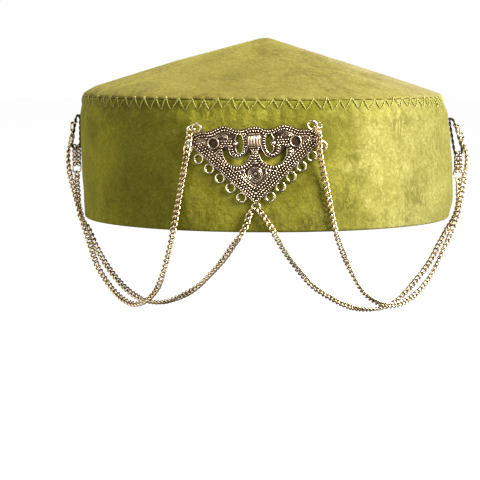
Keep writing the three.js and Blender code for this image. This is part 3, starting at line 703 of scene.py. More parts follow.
def top_edge(x):
    """Height of the plate's top outline above a point across it."""
    return np.interp(abs(x), *zip(*reversed(PLATE_HALF[2:])))


def in_field(x, z):
    """Whether a bead of the ground stands clear of the openings, bosses and raised lines."""
    x = abs(x)
    for (cx, cz), reach in ((SCROLL, 8.35), (BOSS, 3.5), ((16.2, 22.2), 2.5), ((23.9, 27.4), 2.1)):
        if math.hypot(x - cx, z - cz) < reach:
            return False
    under_scroll = x < 7.6 and z > 5.75 + 0.6 * x + 0.035 * x * x
    return not under_scroll and z < top_edge(x) - 3.0 and x < 28.6


def edge_beads(parts, side):
    """Rows of slanted beads along one lower edge, inside a thin rim."""
    bar(parts, [along_edge(side, 0.5, 0.15), along_edge(side, EDGE_LENGTH - 0.2, 0.15)], 0.2, 0.5, step=1.0)
    for row in range(BEAD_ROWS):
        inset = 0.9 + BEAD_PITCH * row
        start = inset * EDGE[1] / EDGE[0] + 0.35 + BEAD_STEP / 2 * (row % 2)
        for along in np.arange(start, EDGE_LENGTH - 0.5, BEAD_STEP):
            x, z = along_edge(side, along, inset)
            if (row <= 3 or in_field(x, z)) and z <= top_edge(x) - 0.6:
                dome(parts, x, z, 0.49, 0.42, side * EDGE_ANGLE + 0.5 * side, 0.78)


def top_border(parts):
    """Two ropes that follow the top outline, and a thin line below them beside the barrel."""
    for drop in (0.75, 1.95, 3.0):
        line = spline_run([(x * (1 - 0.02 * drop), z - drop) for x, z in whole(PLATE_HALF[2:])])
        if drop < 3.0:
            bead_row(parts, line, 1.2, 0.49, 0.4, 0.78, 0.15)
            continue
        for side in (1, -1):
            bar(parts, [p for p in line if side * p[0] > 10.9], 0.2, 0.45, step=0.8)


def plaque_relief(material):
    parts = Parts()
    for side in (-1, 1):
        edge_beads(parts, side)
    top_border(parts)
    # Bosses: a bright raised rim round a shallow dark cup. The lower one has finer rings.
    for side in (-1, 1):
        ring_bar(parts, side * BOSS[0], BOSS[1], 2.45, 0.36, 1.0)
        ring_bar(parts, side * BOSS[0], BOSS[1], 1.3, 0.22, 0.12)
    for radius, half, height in ((3.1, 0.26, 0.6), (2.4, 0.22, 0.75), (1.65, 0.2, 0.35)):
        ring_bar(parts, *LOW_BOSS, radius, half, height)
    dome(parts, *LOW_BOSS, 1.0, 1.0, 0, 0.35)
    for side in (-1, 1):
        scroll(parts, side)
        leaves(parts, side)
    barrel(parts)
    return parts.build("plaque_relief", material, bend=on_plaque)


def scroll(parts, side):
    """Ribbed rims round both openings of one half, and the small knob that stands into the eye."""
    def rib(angle, radius, long, wide, height):
        a = math.radians(angle)
        x, z = round_scroll(side, radius, a)
        dome(parts, x, z, long, wide, math.atan2(math.sin(a), -math.cos(a) * side), height)

    radii = SCROLL_RADII
    for angle in np.arange(-198, 24, math.degrees(BEAD_PITCH / radii["pitch"])):
        long = 0.78 + 0.4 * bell((angle + 182) / 26)
        radius = radii["ribs"] + long
        # The long ribs stop short of the plaque's middle line.
        if SCROLL[0] - radius * math.cos(math.radians(angle)) > 0.7:
            rib(angle, radius, long, 0.33, 0.66)
    for angle in np.arange(-100, -28, math.degrees(BEAD_PITCH / radii["beads"])):
        rib(angle, radii["beads"], 0.42, 0.36, 0.5)
    turns = np.radians(np.linspace(-188, -12, 40))
    bar(parts, [round_scroll(side, radii["line"], a) for a in turns], 0.17, 0.45)
    run, along = bead_row(parts, spline_run(mirror(side, CURL)), 1.1, 0.85, 0.32, 0.7, math.pi / 2)
    bar(parts, kidney(side, 0.2), 0.17, 0.5, closed=True, step=0.4)
    rim = run + 1.1 * side * np.stack([along[:, 1], -along[:, 0]], 1)
    bar(parts, rim[1:], 0.16, 0.45, step=0.5)
    dome(parts, side * 8.75, KIDNEY[1], 0.95, 0.95, 0, 0.95)
    for row, z in enumerate((25.8, 26.9, 28.0, 29.1)):
        for x in np.arange(10.3 + 0.56 * (row % 2), 16.2, BEAD_PITCH):
            if math.hypot(x - BOSS[0], z - BOSS[1]) > 3.4 and math.hypot(x - 14.6, z - 29.6) > 1.6:
                dome(parts, side * x, z, 0.46, 0.4, 0, 0.62)


def leaves(parts, side):
    """Leaves on the shoulder and in the corner, the hook by the crescent, and the lines under the boss."""
    def line(x, z, radius, start, end, half, height, tall=1.0, steps=18):
        turn = np.radians(np.linspace(start, end, steps))
        points = [(x + radius * math.cos(a), z + tall * radius * math.sin(a)) for a in turn]
        bar(parts, mirror(side, points), half, height)

    for grow, half in ((0, 0.22), (0.75, 0.2), (1.5, 0.18)):
        line(*SHOULDER_LEAF, 1.2 + grow, 5, 175, half, 0.5, tall=0.75)
        line(*CORNER_LEAF, 0.7 + 0.8 * grow, -25, 205, half, 0.48)
    for grow in (0, 0.85):
        line(*HOOK, 0.9 + grow, -95, 100, 0.2, 0.5, steps=16)
    for grow in (0, 0.95, 1.8):
        points = [(0, 8.8 - grow * 1.25), (1.9 + 0.3 * grow, 9.9 - grow),
                  (3.7 + 0.55 * grow, 11.6 - 0.8 * grow), (5.0 + 0.8 * grow, 13.4 - 0.5 * grow)]
        bar(parts, mirror(side, spline_run(points)), 0.2, 0.55)
    ring_bar(parts, side * 5.9, 13.9, 1.0, 0.26, 0.6, 6, 24)


def barrel(parts):
    """The fluted barrel in the middle of the top, a collar at each end, beads and a short stem below it."""
    columns, rows = 37, 14
    top, base = [], []
    for v in np.linspace(-1, 1, rows + 1):
        for u in np.linspace(-1, 1, columns):
            fall = math.sqrt(1 - u * u) * (1 - abs(v) ** 3.5) ** 0.6
            flute = 0.6 + 0.4 * abs(math.cos(2.5 * math.pi * u))
            x, z = BARREL["half_width"] * u, BARREL["z"] + BARREL["half_height"] * v
            top.append((x, z, PLATE - 0.2 + BARREL["depth"] * fall * flute))
            base.append((x, z, PLATE - 0.5))
    count = len(top)
    faces = grid_faces(rows + 1, columns, False, False)
    faces += [face[::-1] for face in moved(faces, count)]
    index = np.arange(count).reshape(rows + 1, columns)
    rim = np.concatenate([index[0], index[1:, -1], index[-1, -2::-1], index[-2:0:-1, 0]]).tolist()
    faces += [(a, b, b + count, a + count) for a, b in zip(rim, rim[1:] + rim[:1])]
    parts.add(top + base, faces)
    for z, half_run in ((30.9, 2.4), (24.9, 2.3)):
        bar(parts, [(-half_run, z), (half_run, z)], 0.34, 1.2, step=0.5, sides=8)
    for z, beads in ((24.0, 4), (23.0, 3)):
        for k in range(beads):
            dome(parts, (k - (beads - 1) / 2) * 1.05, z, 0.46, 0.42, 0, 0.85)
    for share in np.linspace(0, 1, 5):
        dome(parts, 0, 22.0 - 4.2 * share, 0.75 + 0.9 * abs(share - 0.4) ** 1.3, 0.36, 0, 0.7)


# Rings of the plaque

def plate_ring(x, z, radius, depth=PLATE / 2):
    """Centreline and centre of a ring soldered on edge to the plate, lying parallel to the wall."""
    x, z = tilted(x, z)
    out = PLAQUE_RADIUS + depth
    turn = math.asin(x / out) + PLAQUE_TURN
    side = np.array([math.cos(turn), math.sin(turn), 0])
    centre = np.array([math.sin(turn) * out, -math.cos(turn) * out, z + PLAQUE_TIP[1]])
    angle = angles_round(36)
    return centre + radius * (np.cos(angle)[:, None] * side + np.sin(angle)[:, None] * [0, 0, 1]), centre


def tip_ring():
    return plate_ring(0, TIP_RING["z"], TIP_RING["radius"])


def ball(centre, radius, turns=12, rings=8):
    verts = [(0, 0, -1)]
    for level in math.pi * np.arange(1, rings) / rings:
        verts += [(math.sin(level) * math.cos(a), math.sin(level) * math.sin(a), -math.cos(level))
                  for a in angles_round(turns)]
    verts.append((0, 0, 1))
    last = 1 + (rings - 2) * turns
    pairs = [(k, (k + 1) % turns) for k in range(turns)]
    faces = [(0, 1 + after, 1 + k) for k, after in pairs]
    faces += moved(grid_faces(rings - 1, turns, False, True), 1)
    faces += [(last + k, last + after, last + turns) for k, after in pairs]
    return centre + radius * np.array(verts, float), faces


def plaque_rings(material):
    parts = Parts()
    made = [tip_ring()]
    for side in (-1, 1):
        for i in range(EDGE_RINGS["count"]):
            along = EDGE_RINGS["first"] + EDGE_RINGS["pitch"] * i
            made.append(plate_ring(*along_edge(side, along, -EDGE_RINGS["stand_off"]), EDGE_RINGS["radius"]))
            joint = on_plaque([(*along_edge(side, along, -0.05), PLATE / 2)])[0]
            parts.add(*ball(joint, SOLDER_RADIUS))
        made.append(plate_ring(side * CORNER_RING["x"], CORNER_RING["z"], CORNER_RING["radius"],
                               CORNER_RING["depth"]))
    for path, centre in made:
        parts.add(*loop_tube(path, centre, SOLDERED_WIRE, 12))
    return parts.build("plaque_rings", material)


def turned(path, axis, angle):
    return path @ np.array(Matrix.Rotation(angle, 3, axis)).T


def jump_path(sign):
    """Centreline of the wire ring that links a corner ring to a chain, from one wire end to the other."""
    x, z = tilted(sign * CORNER_RING["x"], CORNER_RING["z"])
    out = PLAQUE_RADIUS + JUMP_RING["depth"]
    across = x + sign * (CORNER_RING["radius"] + JUMP_RING["across"])
    angle = np.linspace(JUMP_RING["gap"], FULL - JUMP_RING["gap"], 44)
    angle += math.pi * (0.25 if sign > 0 else 0.75)
    path = JUMP_RING["radius"] * np.stack([np.cos(angle), np.sin(angle), np.zeros(len(angle))], 1)
    path = turned(path, "X", JUMP_RING["tilt"]) + np.array([0, -out, PLAQUE_TIP[1] + z])
    return turned(path, "Z", PLAQUE_TURN + math.asin(across / out))


def jump_ring(side, sign, material):
    return mesh_object(f"jump_ring_{side}_wire", *tube(jump_path(sign), WIRE, 12), material)


# Chains

def chain_route(name):
    wall, free = CHAINS[name]
    places = []
    for x, z, off in wall:
        reach = float(roundness(np.array(math.asin(x / BAND_SECTIONS[0][1])), z)) + off
        places.append((x, -math.sqrt(reach ** 2 - x ** 2), z))
    return catmull(np.array([*places, *free], float))


def curb_link(size, centre, along, flat, roll):
    """One twisted link: its two ends are turned to opposite sides, so it locks with the next."""
    angle = angles_round(24)
    side = np.cross(flat, along)
    cos, sin = math.cos(roll), math.sin(roll)
    side, flat = side * cos + flat * sin, flat * cos - side * sin
    twist = size["twist"] * np.cos(angle)
    across = size["across"] * np.sin(angle)
    path = (centre + (size["half"] * np.cos(angle))[:, None] * along
            + (across * np.cos(twist))[:, None] * side + (across * np.sin(twist))[:, None] * flat)
    return loop_tube(path, centre, size["wire"], 8)


def hook(end, along, wire, wire_radius):
    """Where a link's end lies when it is hooked round a wire near a chain's end, and the wire's direction."""
    nearest = int(np.argmin(np.linalg.norm(wire - end, axis=1)))
    gap = wire[nearest] - end
    towards = unit(gap) if np.linalg.norm(gap) > 0.3 else along
    tangent = unit(wire[(nearest + 1) % len(wire)] - wire[nearest - 1])
    return wire[nearest] + towards * (wire_radius + CURB["wire"]), tangent


def hook_roll(along, flat, tangent, twist):
    """The roll that lets a wire pass through a link's end, whose own twist is given."""
    across = np.cross(along, tangent)
    roll = math.atan2(np.dot(across, flat), np.dot(across, np.cross(flat, along))) - twist
    return (roll + math.pi / 2) % math.pi - math.pi / 2


def curb_chain(name, material, first, last):
    """A run of curb links along a chain's route, its two end links hooked round the wires that carry it."""
    route = chain_route(name)
    start, from_wire = hook(route[0], route[0] - route[1], *first)
    stop, to_wire = hook(route[-1], route[-1] - route[-2], *last)
    route = np.vstack([start, route, stop])
    way = way_along(route)
    reach = CURB["half"]
    count = int(round((way[-1] - 2 * reach) / CURB["pitch"])) + 1
    at = np.linspace(reach, way[-1] - reach, count)
    places = points_at(route, way, at)
    along = unit(np.gradient(places, axis=0))
    along[0], along[-1] = unit(places[0] - start), unit(stop - places[-1])
    local = np.random.default_rng(len(name) + count)
    drift = np.cumsum(local.normal(0, LINK_TURNS["drift"], count))
    drift -= np.linspace(drift[0], drift[-1], count)
    sway = LINK_TURNS["sway"] * np.sin(at / LINK_TURNS["length"] + local.uniform(0, 6))
    drift += sway * held(at / LINK_TURNS["ease"]) * held((at[-1] - at) / LINK_TURNS["ease"])
    parts = Parts()
    for i in range(count):
        outward = unit(places[i] * np.array([1, 1, 0])) * 0.3 + np.array([0, -0.7, 0])
        flat = unit(outward - np.dot(outward, along[i]) * along[i])
        roll = local.normal(0, LINK_TURNS["scatter"]) + drift[i]
        if i == 0:
            roll = hook_roll(along[i], flat, from_wire, -CURB["twist"])
        elif i == count - 1:
            roll = hook_roll(along[i], flat, to_wire, CURB["twist"])
        parts.add(*curb_link(CURB, places[i], along[i], flat, roll))
    return parts.build(name + "_links", material)


# Side fittings

def oval_path(width, length, wire, steps=48):
    """Centreline of a closed ring or long link in the XZ plane, its length along Z."""
    angle = angles_round(steps) + math.pi / steps
    radius = width / 2 - wire
    z = radius * np.sin(angle)
    return np.stack([radius * np.cos(angle), np.zeros(steps), z + np.sign(z) * (length - width) / 2], 1)


def link_heights(side):
    half = side["width"] / 2 - WIRE
    rise = (side["height"] - side["width"]) / 2 + math.sqrt(half ** 2 - SIDE_OFFSET ** 2)
    return side["z"] + rise + LINK_SEAT + SIDE_LINK_PITCH * np.arange(SIDE_LINKS)


def thread_ends(side):
    bend = THREAD_WIDTH / 2 - THREAD_WIRE
    rise = bend - math.sqrt(bend ** 2 - SIDE_OFFSET ** 2)
    top = (side["wall"] + 0.5 + THREAD_WIDTH * THREAD_TOP_SHARE / 2, side["top"])
    return top, (side["x"] + 0.35, link_heights(side)[-1] - LINK_SEAT - rise)


def thread_loop(name, material):
    """A two-ply loop, narrower at its top, where two stitches sew it to the wall."""
    side = SIDES[name]
    (tx, tz), (bx, bz) = thread_ends(side)
    path = oval_path(THREAD_WIDTH, tz - bz + 2 * THREAD_WIRE, THREAD_WIRE, 96)
    # Points evenly along the long legs, so that the twist of the plies is even.
    closed = np.vstack([path, path[:1]])
    way = way_along(closed)
    path = points_at(closed, way, np.linspace(0, way[-1], 120, endpoint=False))
    share = 0.5 - path[:, 2] / (tz - bz)
    narrow = THREAD_TOP_SHARE + (1 - THREAD_TOP_SHARE) * held(share)
    path[:, 0] = path[:, 0] * narrow + side["sign"] * (tx + (bx - tx) * share)
    path[:, 2] += (tz + bz) / 2
    parts = Parts()
    for strand in two_ply(path, **THREAD_PLIES, centre=path.mean(0)):
        parts.add(*strand)
    anchor = np.array([side["sign"] * (side["wall"] + 0.1), 0, tz - 0.4])
    for shift in (-0.5, 0.5):
        bridge = np.linspace(path[np.argmax(path[:, 2])], anchor + np.array([0, shift, 0.3 * shift]), 8)
        bridge[:, 2] += 0.5 * np.sin(np.linspace(0, math.pi, 8))
        parts.add(*tube(bridge, SEWING_THREAD, 7))
    return parts.build(f"thread_loop_{name}_plies", material)


def eye_place(side):
    """The eye ring's turn and centre where it holds the thread's outer leg, and its far point."""
    (tx, tz), (bx, bz) = thread_ends(side)
    share = EYE_DROP / (tz - bz)
    half = (THREAD_WIDTH / 2 - THREAD_WIRE) * (THREAD_TOP_SHARE + (1 - THREAD_TOP_SHARE) * share)
    leg = np.array([side["sign"] * (tx + (bx - tx) * share + half), 0, tz - EYE_DROP])
    angle = -math.pi / 2 + side["sign"] * (math.pi / 2 - EYE_TURN)
    out = np.array([math.cos(angle), math.sin(angle), 0])
    radius = EYE_WIDTH / 2 - EYE_WIRE
    reach = radius * math.cos(EYE_TILT)
    centre = leg + out * (reach - THREAD_WIRE - EYE_WIRE - WIRE_PLAY)
    return angle, centre, centre + out * reach - np.array([0, 0, radius * math.sin(EYE_TILT)])


def eye_ring(side):
    angle, centre, _ = eye_place(side)
    flat = oval_path(EYE_WIDTH, EYE_WIDTH, EYE_WIRE)[:, [0, 2, 1]]
    return turned(turned(flat, "Y", EYE_TILT), "Z", angle) + centre, centre


def oval_link(side):
    angle, _, far = eye_place(side)
    middle = far - np.array([0, 0, OVAL_LENGTH / 2 - 2 * WIRE - EYE_WIRE - WIRE_PLAY])
    return turned(oval_path(OVAL_WIDTH, OVAL_LENGTH, WIRE), "Z", angle) + middle, middle


def gather_ring(side):
    middle = np.array([side["sign"] * side["x"], 0, side["z"]])
    return oval_path(side["width"], side["height"], WIRE) + middle, middle


def side_chain(name, side, offset, material):
    """Five fine links, the outer two turned so that the thread and the gather ring pass through them."""
    parts = Parts()
    heights = link_heights(side)
    low = heights[0] - SIDE_LINK_REACH + FINE_CURB["half"]
    high = heights[-1] + SIDE_LINK_REACH - FINE_CURB["half"]
    end_roll = math.pi / 2 - FINE_CURB["twist"]
    for i, z in enumerate(np.linspace(low, high, SIDE_LINKS + 1)):
        turn = (-1) ** i
        roll = {0: end_roll, SIDE_LINKS: -end_roll}.get(i, 0.12 * turn)
        middle = np.array([side["sign"] * side["x"] + offset, 0.3 * turn, z])
        parts.add(*curb_link(FINE_CURB, middle, np.array([0, 0, 1.0]), np.array([0, -1.0, 0]), roll))
    return parts.build(name + "_links", material)


def side_fittings(name, ring_material, chain_material, thread_material):
    """(piece, the node that it replaces, its slot) for all that hangs at one side."""
    side = SIDES[name]
    made = [(thread_loop(name, thread_material), f"thread_loop_{name}", "thread")]
    for kind, shape, wire in (("eye_ring", eye_ring, EYE_WIRE), ("oval_link", oval_link, WIRE),
                              ("gather_ring", gather_ring, WIRE)):
        ring = mesh_object(f"{kind}_{name}_wire", *loop_tube(*shape(side), wire, 12), ring_material)
        made.append((ring, f"{kind}_{name}", "brass_rings"))
    for where, offset in (("front", -SIDE_OFFSET), ("back", SIDE_OFFSET)):
        node = f"side_chain_{where}_{name}"
        made.append((side_chain(node, side, offset, chain_material), node, "brass_chain"))
    return made


# Materials

class Nodes:
    """A small helper for building a node tree."""

    def __init__(self, tree):
        self.tree = tree

    def node(self, kind, **settings):
        made = self.tree.nodes.new(kind)
        for key, value in settings.items():
            setattr(made, key, value)
        return made

    def link(self, a, b):
        self.tree.links.new(a, b)

    def feed(self, socket, value):
        """Links a socket's value, or sets it where it is a number or a colour."""
        if isinstance(value, (int, float)):
            socket.default_value = value
        elif isinstance(value, tuple):
            socket.default_value = (*value, 1)
        else:
            self.link(value, socket)

    def spread(self, value, low, high, to_low=0.0, to_high=1.0):
        made = self.node("ShaderNodeMapRange")
        for key, number in (("From Min", low), ("From Max", high), ("To Min", to_low), ("To Max", to_high)):
            made.inputs[key].default_value = number
        self.link(value, made.inputs["Value"])
        return made.outputs[0]

    def math(self, operation, a, b=0):
        made = self.node("ShaderNodeMath", operation=operation)
        self.feed(made.inputs[0], a)
        self.feed(made.inputs[1], b)
        return made.outputs[0]

    def split(self, vector):
        made = self.node("ShaderNodeSeparateXYZ")
        self.link(vector, made.inputs[0])
        return made.outputs

    def ramp(self, value, stops):
        """Colours along a value from 0 to 1: (place, colour), the first at 0 and the last at 1."""
        made = self.node("ShaderNodeValToRGB")
        self.link(value, made.inputs[0])
        elements = made.color_ramp.elements
        for place, _ in stops[1:-1]:
            elements.new(place)
        for element, (_, colour) in zip(elements, stops):
            element.color = (*colour, 1)
        return made.outputs["Color"]


class Shader(Nodes):
    """A material's nodes, with its main shader and object coordinates ready."""

    def __init__(self, name):
        self.material = bpy.data.materials.new(name)
        self.material.use_nodes = True
        super().__init__(self.material.node_tree)
        self.tree.nodes.clear()
        self.bsdf = self.node("ShaderNodeBsdfPrincipled")
        self.link(self.bsdf.outputs[0], self.node("ShaderNodeOutputMaterial").inputs[0])
        self.coords = self.node("ShaderNodeTexCoord").outputs["Object"]

    def set(self, **values):
        for key, value in values.items():
            self.bsdf.inputs[key.replace("_", " ")].default_value = value

    def stretched(self, scale, shift):
        made = self.node("ShaderNodeMapping")
        made.inputs["Scale"].default_value = scale
        made.inputs["Location"].default_value = shift
        self.link(self.coords, made.inputs["Vector"])
        return made.outputs[0]

    def noise(self, scale, detail=4, rough=0.6, distortion=0.0, vector=None):
        made = self.node("ShaderNodeTexNoise")
        made.inputs["Scale"].default_value = scale
        made.inputs["Detail"].default_value = detail
        made.inputs["Roughness"].default_value = rough
        made.inputs["Distortion"].default_value = distortion
        self.link(vector or self.coords, made.inputs["Vector"])
        return made.outputs["Fac"]

    def mix(self, share, a, b, blend="MIX"):
        made = self.node("ShaderNodeMix", data_type="RGBA", blend_type=blend)
        for index, value in ((0, share), (6, a), (7, b)):
            self.feed(made.inputs[index], value)
        return made.outputs[2]

    def bump(self, height, distance, strength, under=None):
        made = self.node("ShaderNodeBump")
        made.inputs["Strength"].default_value = strength
        made.inputs["Distance"].default_value = distance
        self.link(height, made.inputs["Height"])
        if under is not None:
            self.link(under, made.inputs["Normal"])
        return made.outputs[0]

    def near(self, turn, level, size, core):
        """1 within a part of a spot on the wall, falling to 0 at its size."""
        away = self.node("ShaderNodeVectorMath", operation="DISTANCE")
        self.link(self.coords, away.inputs[0])
        away.inputs[1].default_value = MM * ring_place(math.radians(turn), 91, level)
        return self.spread(away.outputs["Value"], MM * size, core * MM * size)

    def finish(self, colour, normal):
        self.link(colour, self.bsdf.inputs["Base Color"])
        self.link(normal, self.bsdf.inputs["Normal"])
        return self.material


def velvet(name, tones, sheen, shift, painted_light_by_azimuth, marks=(), raised=()):
    """Crushed velvet: nap laid in soft patches, mottled fine pile, a pale sheen, and painted light and shade
    round the hat.

    tones are the deep, middle and pale colours, and sheen its tint and weight.
    painted_light_by_azimuth paints light and shade round the hat, lighter where the key lamp falls: (azimuth
    in degrees from the front, how light the colour is painted there, how much of its blue is kept, kept
    higher on the lit side as a painted sheen).
    marks are places where the nap is brushed darker, and raised ones are spots of painted light, which paint
    out the plaque's shadow on the cloth seen through its openings: (azimuth in degrees, height, size).
    """
    deep, middle, pale = tones
    s = Shader(name)
    patches = s.noise(26, 4, 0.6, 1.2, s.stretched((1, 1, 1.1), shift))
    crush = s.noise(120, 4, 0.6, 1.2, s.stretched((1, 1, 0.8), shift))
    grain = s.noise(560, 3, 0.65, 0.6)
    pile = s.noise(1050, 3, 0.7)
    nap = s.math("ADD", s.math("MULTIPLY", patches, 0.33), s.math("MULTIPLY", crush, 0.22))
    nap = s.math("ADD", nap, s.math("MULTIPLY", grain, 0.45))
    laid = s.spread(nap, 0.4, 0.6)
    colour = s.mix(s.spread(laid, 0, 0.5), deep, middle)
    colour = s.mix(s.spread(laid, 0.5, 1.0), colour, pale)
    colour = s.mix(s.spread(pile, 0.4, 0.62, 0.0, 0.5), colour, deep)
    brushed = s.spread(s.noise(30, 3, 0.6, 0.8, s.stretched((1, 1, 0.9), (0.15, 0.6, 0.3))), 0.53, 0.62)
    for place in marks:
        brushed = s.math("MAXIMUM", brushed, s.near(*place, 0.3))
    strokes = s.spread(s.noise(330, 3, 0.6, 1.5, s.stretched((1, 1, 0.45), shift)), 0.42, 0.56, 0.0, 0.85)
    colour = s.mix(s.math("MULTIPLY", brushed, strokes), colour, tuple(0.75 * v for v in deep))
    # Painted light and shade round the hat: the colour is scaled by azimuth, lighter where the key lamp falls
    # and darker on the shaded side. Its blue is kept higher on the lit side as a painted sheen.
    place = s.split(s.coords)
    around = s.math("ARCTAN2", place["X"], s.math("MULTIPLY", place["Y"], -1.0))
    wander = s.noise(40, 4, 0.6, 0.6, s.stretched((1, 1, 1), (0.4, 0.1, 0.2)))
    around = s.math("ADD", around, s.spread(wander, 0.3, 0.7, -0.09, 0.09))
    stops = [((turn + 180) / 360, (share, share, share * painted_sheen_blue)) for turn, share, painted_sheen_blue in painted_light_by_azimuth]
    colour = s.mix(1.0, colour, s.ramp(s.spread(around, -math.pi, math.pi), stops), "MULTIPLY")
    # Painted light: spots where the colour is brightened more than twice over, painting out the plaque's
    # shadow on the cloth seen through its openings.
    for place in raised:
        colour = s.mix(s.near(*place, 0.75), colour, (2.15, 2.15, 2.9), "MULTIPLY")
    s.set(Roughness=0.9, Sheen_Weight=sheen[3], Sheen_Roughness=0.45, Sheen_Tint=(*sheen[:3], 1),
          Specular_IOR_Level=0.1)
    normal = s.bump(crush, 0.0014, 0.22)
    normal = s.bump(grain, 0.0007, 0.55, normal)
    return s.finish(colour, s.bump(pile, 0.00012, 0.7, normal))


def lining(name, colour, dark):
    """Plain woven lining inside the hat."""
    s = Shader(name)
    weave = []
    for direction, scale in (("Z", 110), ("DIAGONAL", 90)):
        wave = s.node("ShaderNodeTexWave", wave_type="BANDS", bands_direction=direction)
        wave.inputs["Scale"].default_value = scale
        wave.inputs["Distortion"].default_value = 0.6
        s.link(s.coords, wave.inputs["Vector"])
        weave.append(wave.outputs["Fac"])
    both = s.math("MULTIPLY", *weave)
    base = s.mix(s.spread(s.noise(40), 0.35, 0.7), dark, colour)
    s.set(Roughness=0.8, Sheen_Weight=0.15)
    return s.finish(s.mix(s.spread(both, 0, 1, 0.25, 0), base, dark), s.bump(both, 0.0002, 0.5))


def antique(name, bright, patina, dark, reach, polish, patina_and_shade_amount=1.0, rise=None):
    """Cast metal with dark patina and painted shade in the hollows, found by ambient occlusion, and rubbed
    bright edges.

    rise gives the distances from the hat's axis between which the patina and painted shade, dark low down by
    the plate, are rubbed away towards the tops.
    """
    s = Shader(name)
    # Dark patina and painted shade: ambient occlusion darkens the metal where shade falls, in hollows and
    # between parts.
    shade = s.node("ShaderNodeAmbientOcclusion", samples=8)
    shade.inputs["Distance"].default_value = reach
    patina_and_painted_shade = s.spread(shade.outputs["AO"], 0.25, 0.85, 1.0, 0.0)
    # Patina and painted shade also darken the relief low down, near the plate.
    if rise:
        across = s.node("ShaderNodeVectorMath", operation="MULTIPLY")
        across.inputs[1].default_value = (1, 1, 0)
        s.link(s.coords, across.inputs[0])
        away = s.node("ShaderNodeVectorMath", operation="LENGTH")
        s.link(across.outputs[0], away.inputs[0])
        patina_and_painted_shade = s.math("MAXIMUM", patina_and_painted_shade, s.spread(away.outputs["Value"], *rise, 1.0, 0.0))
    patina_and_painted_shade = s.math("MULTIPLY", patina_and_painted_shade, patina_and_shade_amount)
    speck = s.noise(900, 3)
    clean = s.mix(s.spread(s.noise(160, 5, 0.6, 0.5), 0.35, 0.65), patina, bright)
    rough = s.math("ADD", s.spread(speck, 0.3, 0.7, polish, polish + 0.16), s.math("MULTIPLY", patina_and_painted_shade, 0.35))
    s.link(rough, s.bsdf.inputs["Roughness"])
    s.set(Metallic=1.0)
    return s.finish(s.mix(patina_and_painted_shade, clean, dark), s.bump(speck, 0.00006, 0.5))


def thread(name, colour, dark):
    """Spun thread with fine fibres."""
    s = Shader(name)
    fibre = s.noise(2600, 3)
    s.set(Roughness=0.65, Sheen_Weight=0.1, Sheen_Tint=(*colour, 1), Specular_IOR_Level=0.2)
    return s.finish(s.mix(s.spread(fibre, 0.3, 0.7), dark, colour), s.bump(fibre, 0.00008, 0.6))


# Set

def staged(name, corners, grey, glow):
    """A plain flat sheet of the set."""
    mesh = bpy.data.meshes.new(name)
    mesh.from_pydata(corners, [], [(0, 1, 2, 3)])
    sheet = bpy.data.objects.new(name, mesh)
    bpy.context.scene.collection.objects.link(sheet)
    s = Shader(name)
    s.set(Base_Color=(grey, grey, grey, 1), Roughness=0.9)
    s.set(Emission_Color=(1, 1, 1, 1), Emission_Strength=glow)
    mesh.materials.append(s.material)
    return sheet, s


def stage_floor(reach=12.0, level=-0.25):
    corners = [(-reach, -reach, level), (reach, -reach, level), (reach, reach, level), (-reach, reach, level)]
    floor, s = staged("floor", corners, 0.35, 0.85)
    floor.visible_diffuse = floor.visible_glossy = False
    s.set(Specular_IOR_Level=0.0)


def card(name, start, end, grey, glow):
    """An upright card between two (x, y) edges, seen only in the metal."""
    sheet, _ = staged(name, [(*start, -1.2), (*end, -1.2), (*end, 1.6), (*start, 1.6)], grey, glow)
    sheet.visible_camera = sheet.visible_diffuse = sheet.visible_shadow = sheet.visible_transmission = False


def area_light(name, place, size, power, colour=(1, 1, 1), target=(0, 0, 0.03)):
    data = bpy.data.lights.new(name, "AREA")
    data.shape = "DISK"
    data.size = size
    data.energy = power
    data.color = colour
    lamp = bpy.data.objects.new(name, data)
    lamp.location = place
    lamp.rotation_euler = (Vector(target) - Vector(place)).to_track_quat("-Z", "Y").to_euler()
    bpy.context.scene.collection.objects.link(lamp)


def studio():
    """Pale all round at eye level and bright at both sides, with a large soft key at the right."""
    world = bpy.data.worlds.new("studio")
    world.use_nodes = True
    s = Nodes(world.node_tree)
    place = s.split(s.node("ShaderNodeTexCoord").outputs["Generated"])
    levels = ((-1.0, 0.12), (-0.16, 0.16), (-0.06, 1.0), (0.14, 1.0), (0.27, 0.3), (1.0, 0.3))
    pale = s.ramp(s.spread(place["Z"], -1, 1), [((height + 1) / 2, (value,) * 3) for height, value in levels])
    aside = s.spread(s.math("ABSOLUTE", place["X"]), 0.45, 0.8)
    level = s.spread(s.math("ABSOLUTE", place["Z"]), 0.6, 0.35)
    background = world.node_tree.nodes["Background"]
    s.link(s.math("MAXIMUM", pale, s.math("MULTIPLY", aside, level)), background.inputs["Strength"])
    background.inputs["Color"].default_value = (1, 1, 1, 1)
    bpy.context.scene.world = world
    area_light("key", (1.22, -0.65, 0.8), 1.0, 95, (1.0, 0.99, 0.95))
    area_light("top", (-0.35, 0.35, 1.4), 0.9, 8)
    area_light("front", (-0.35, -1.5, 0.55), 0.6, 5)
    area_light("left", (-1.5, -0.5, 0.1), 0.5, 1.5)


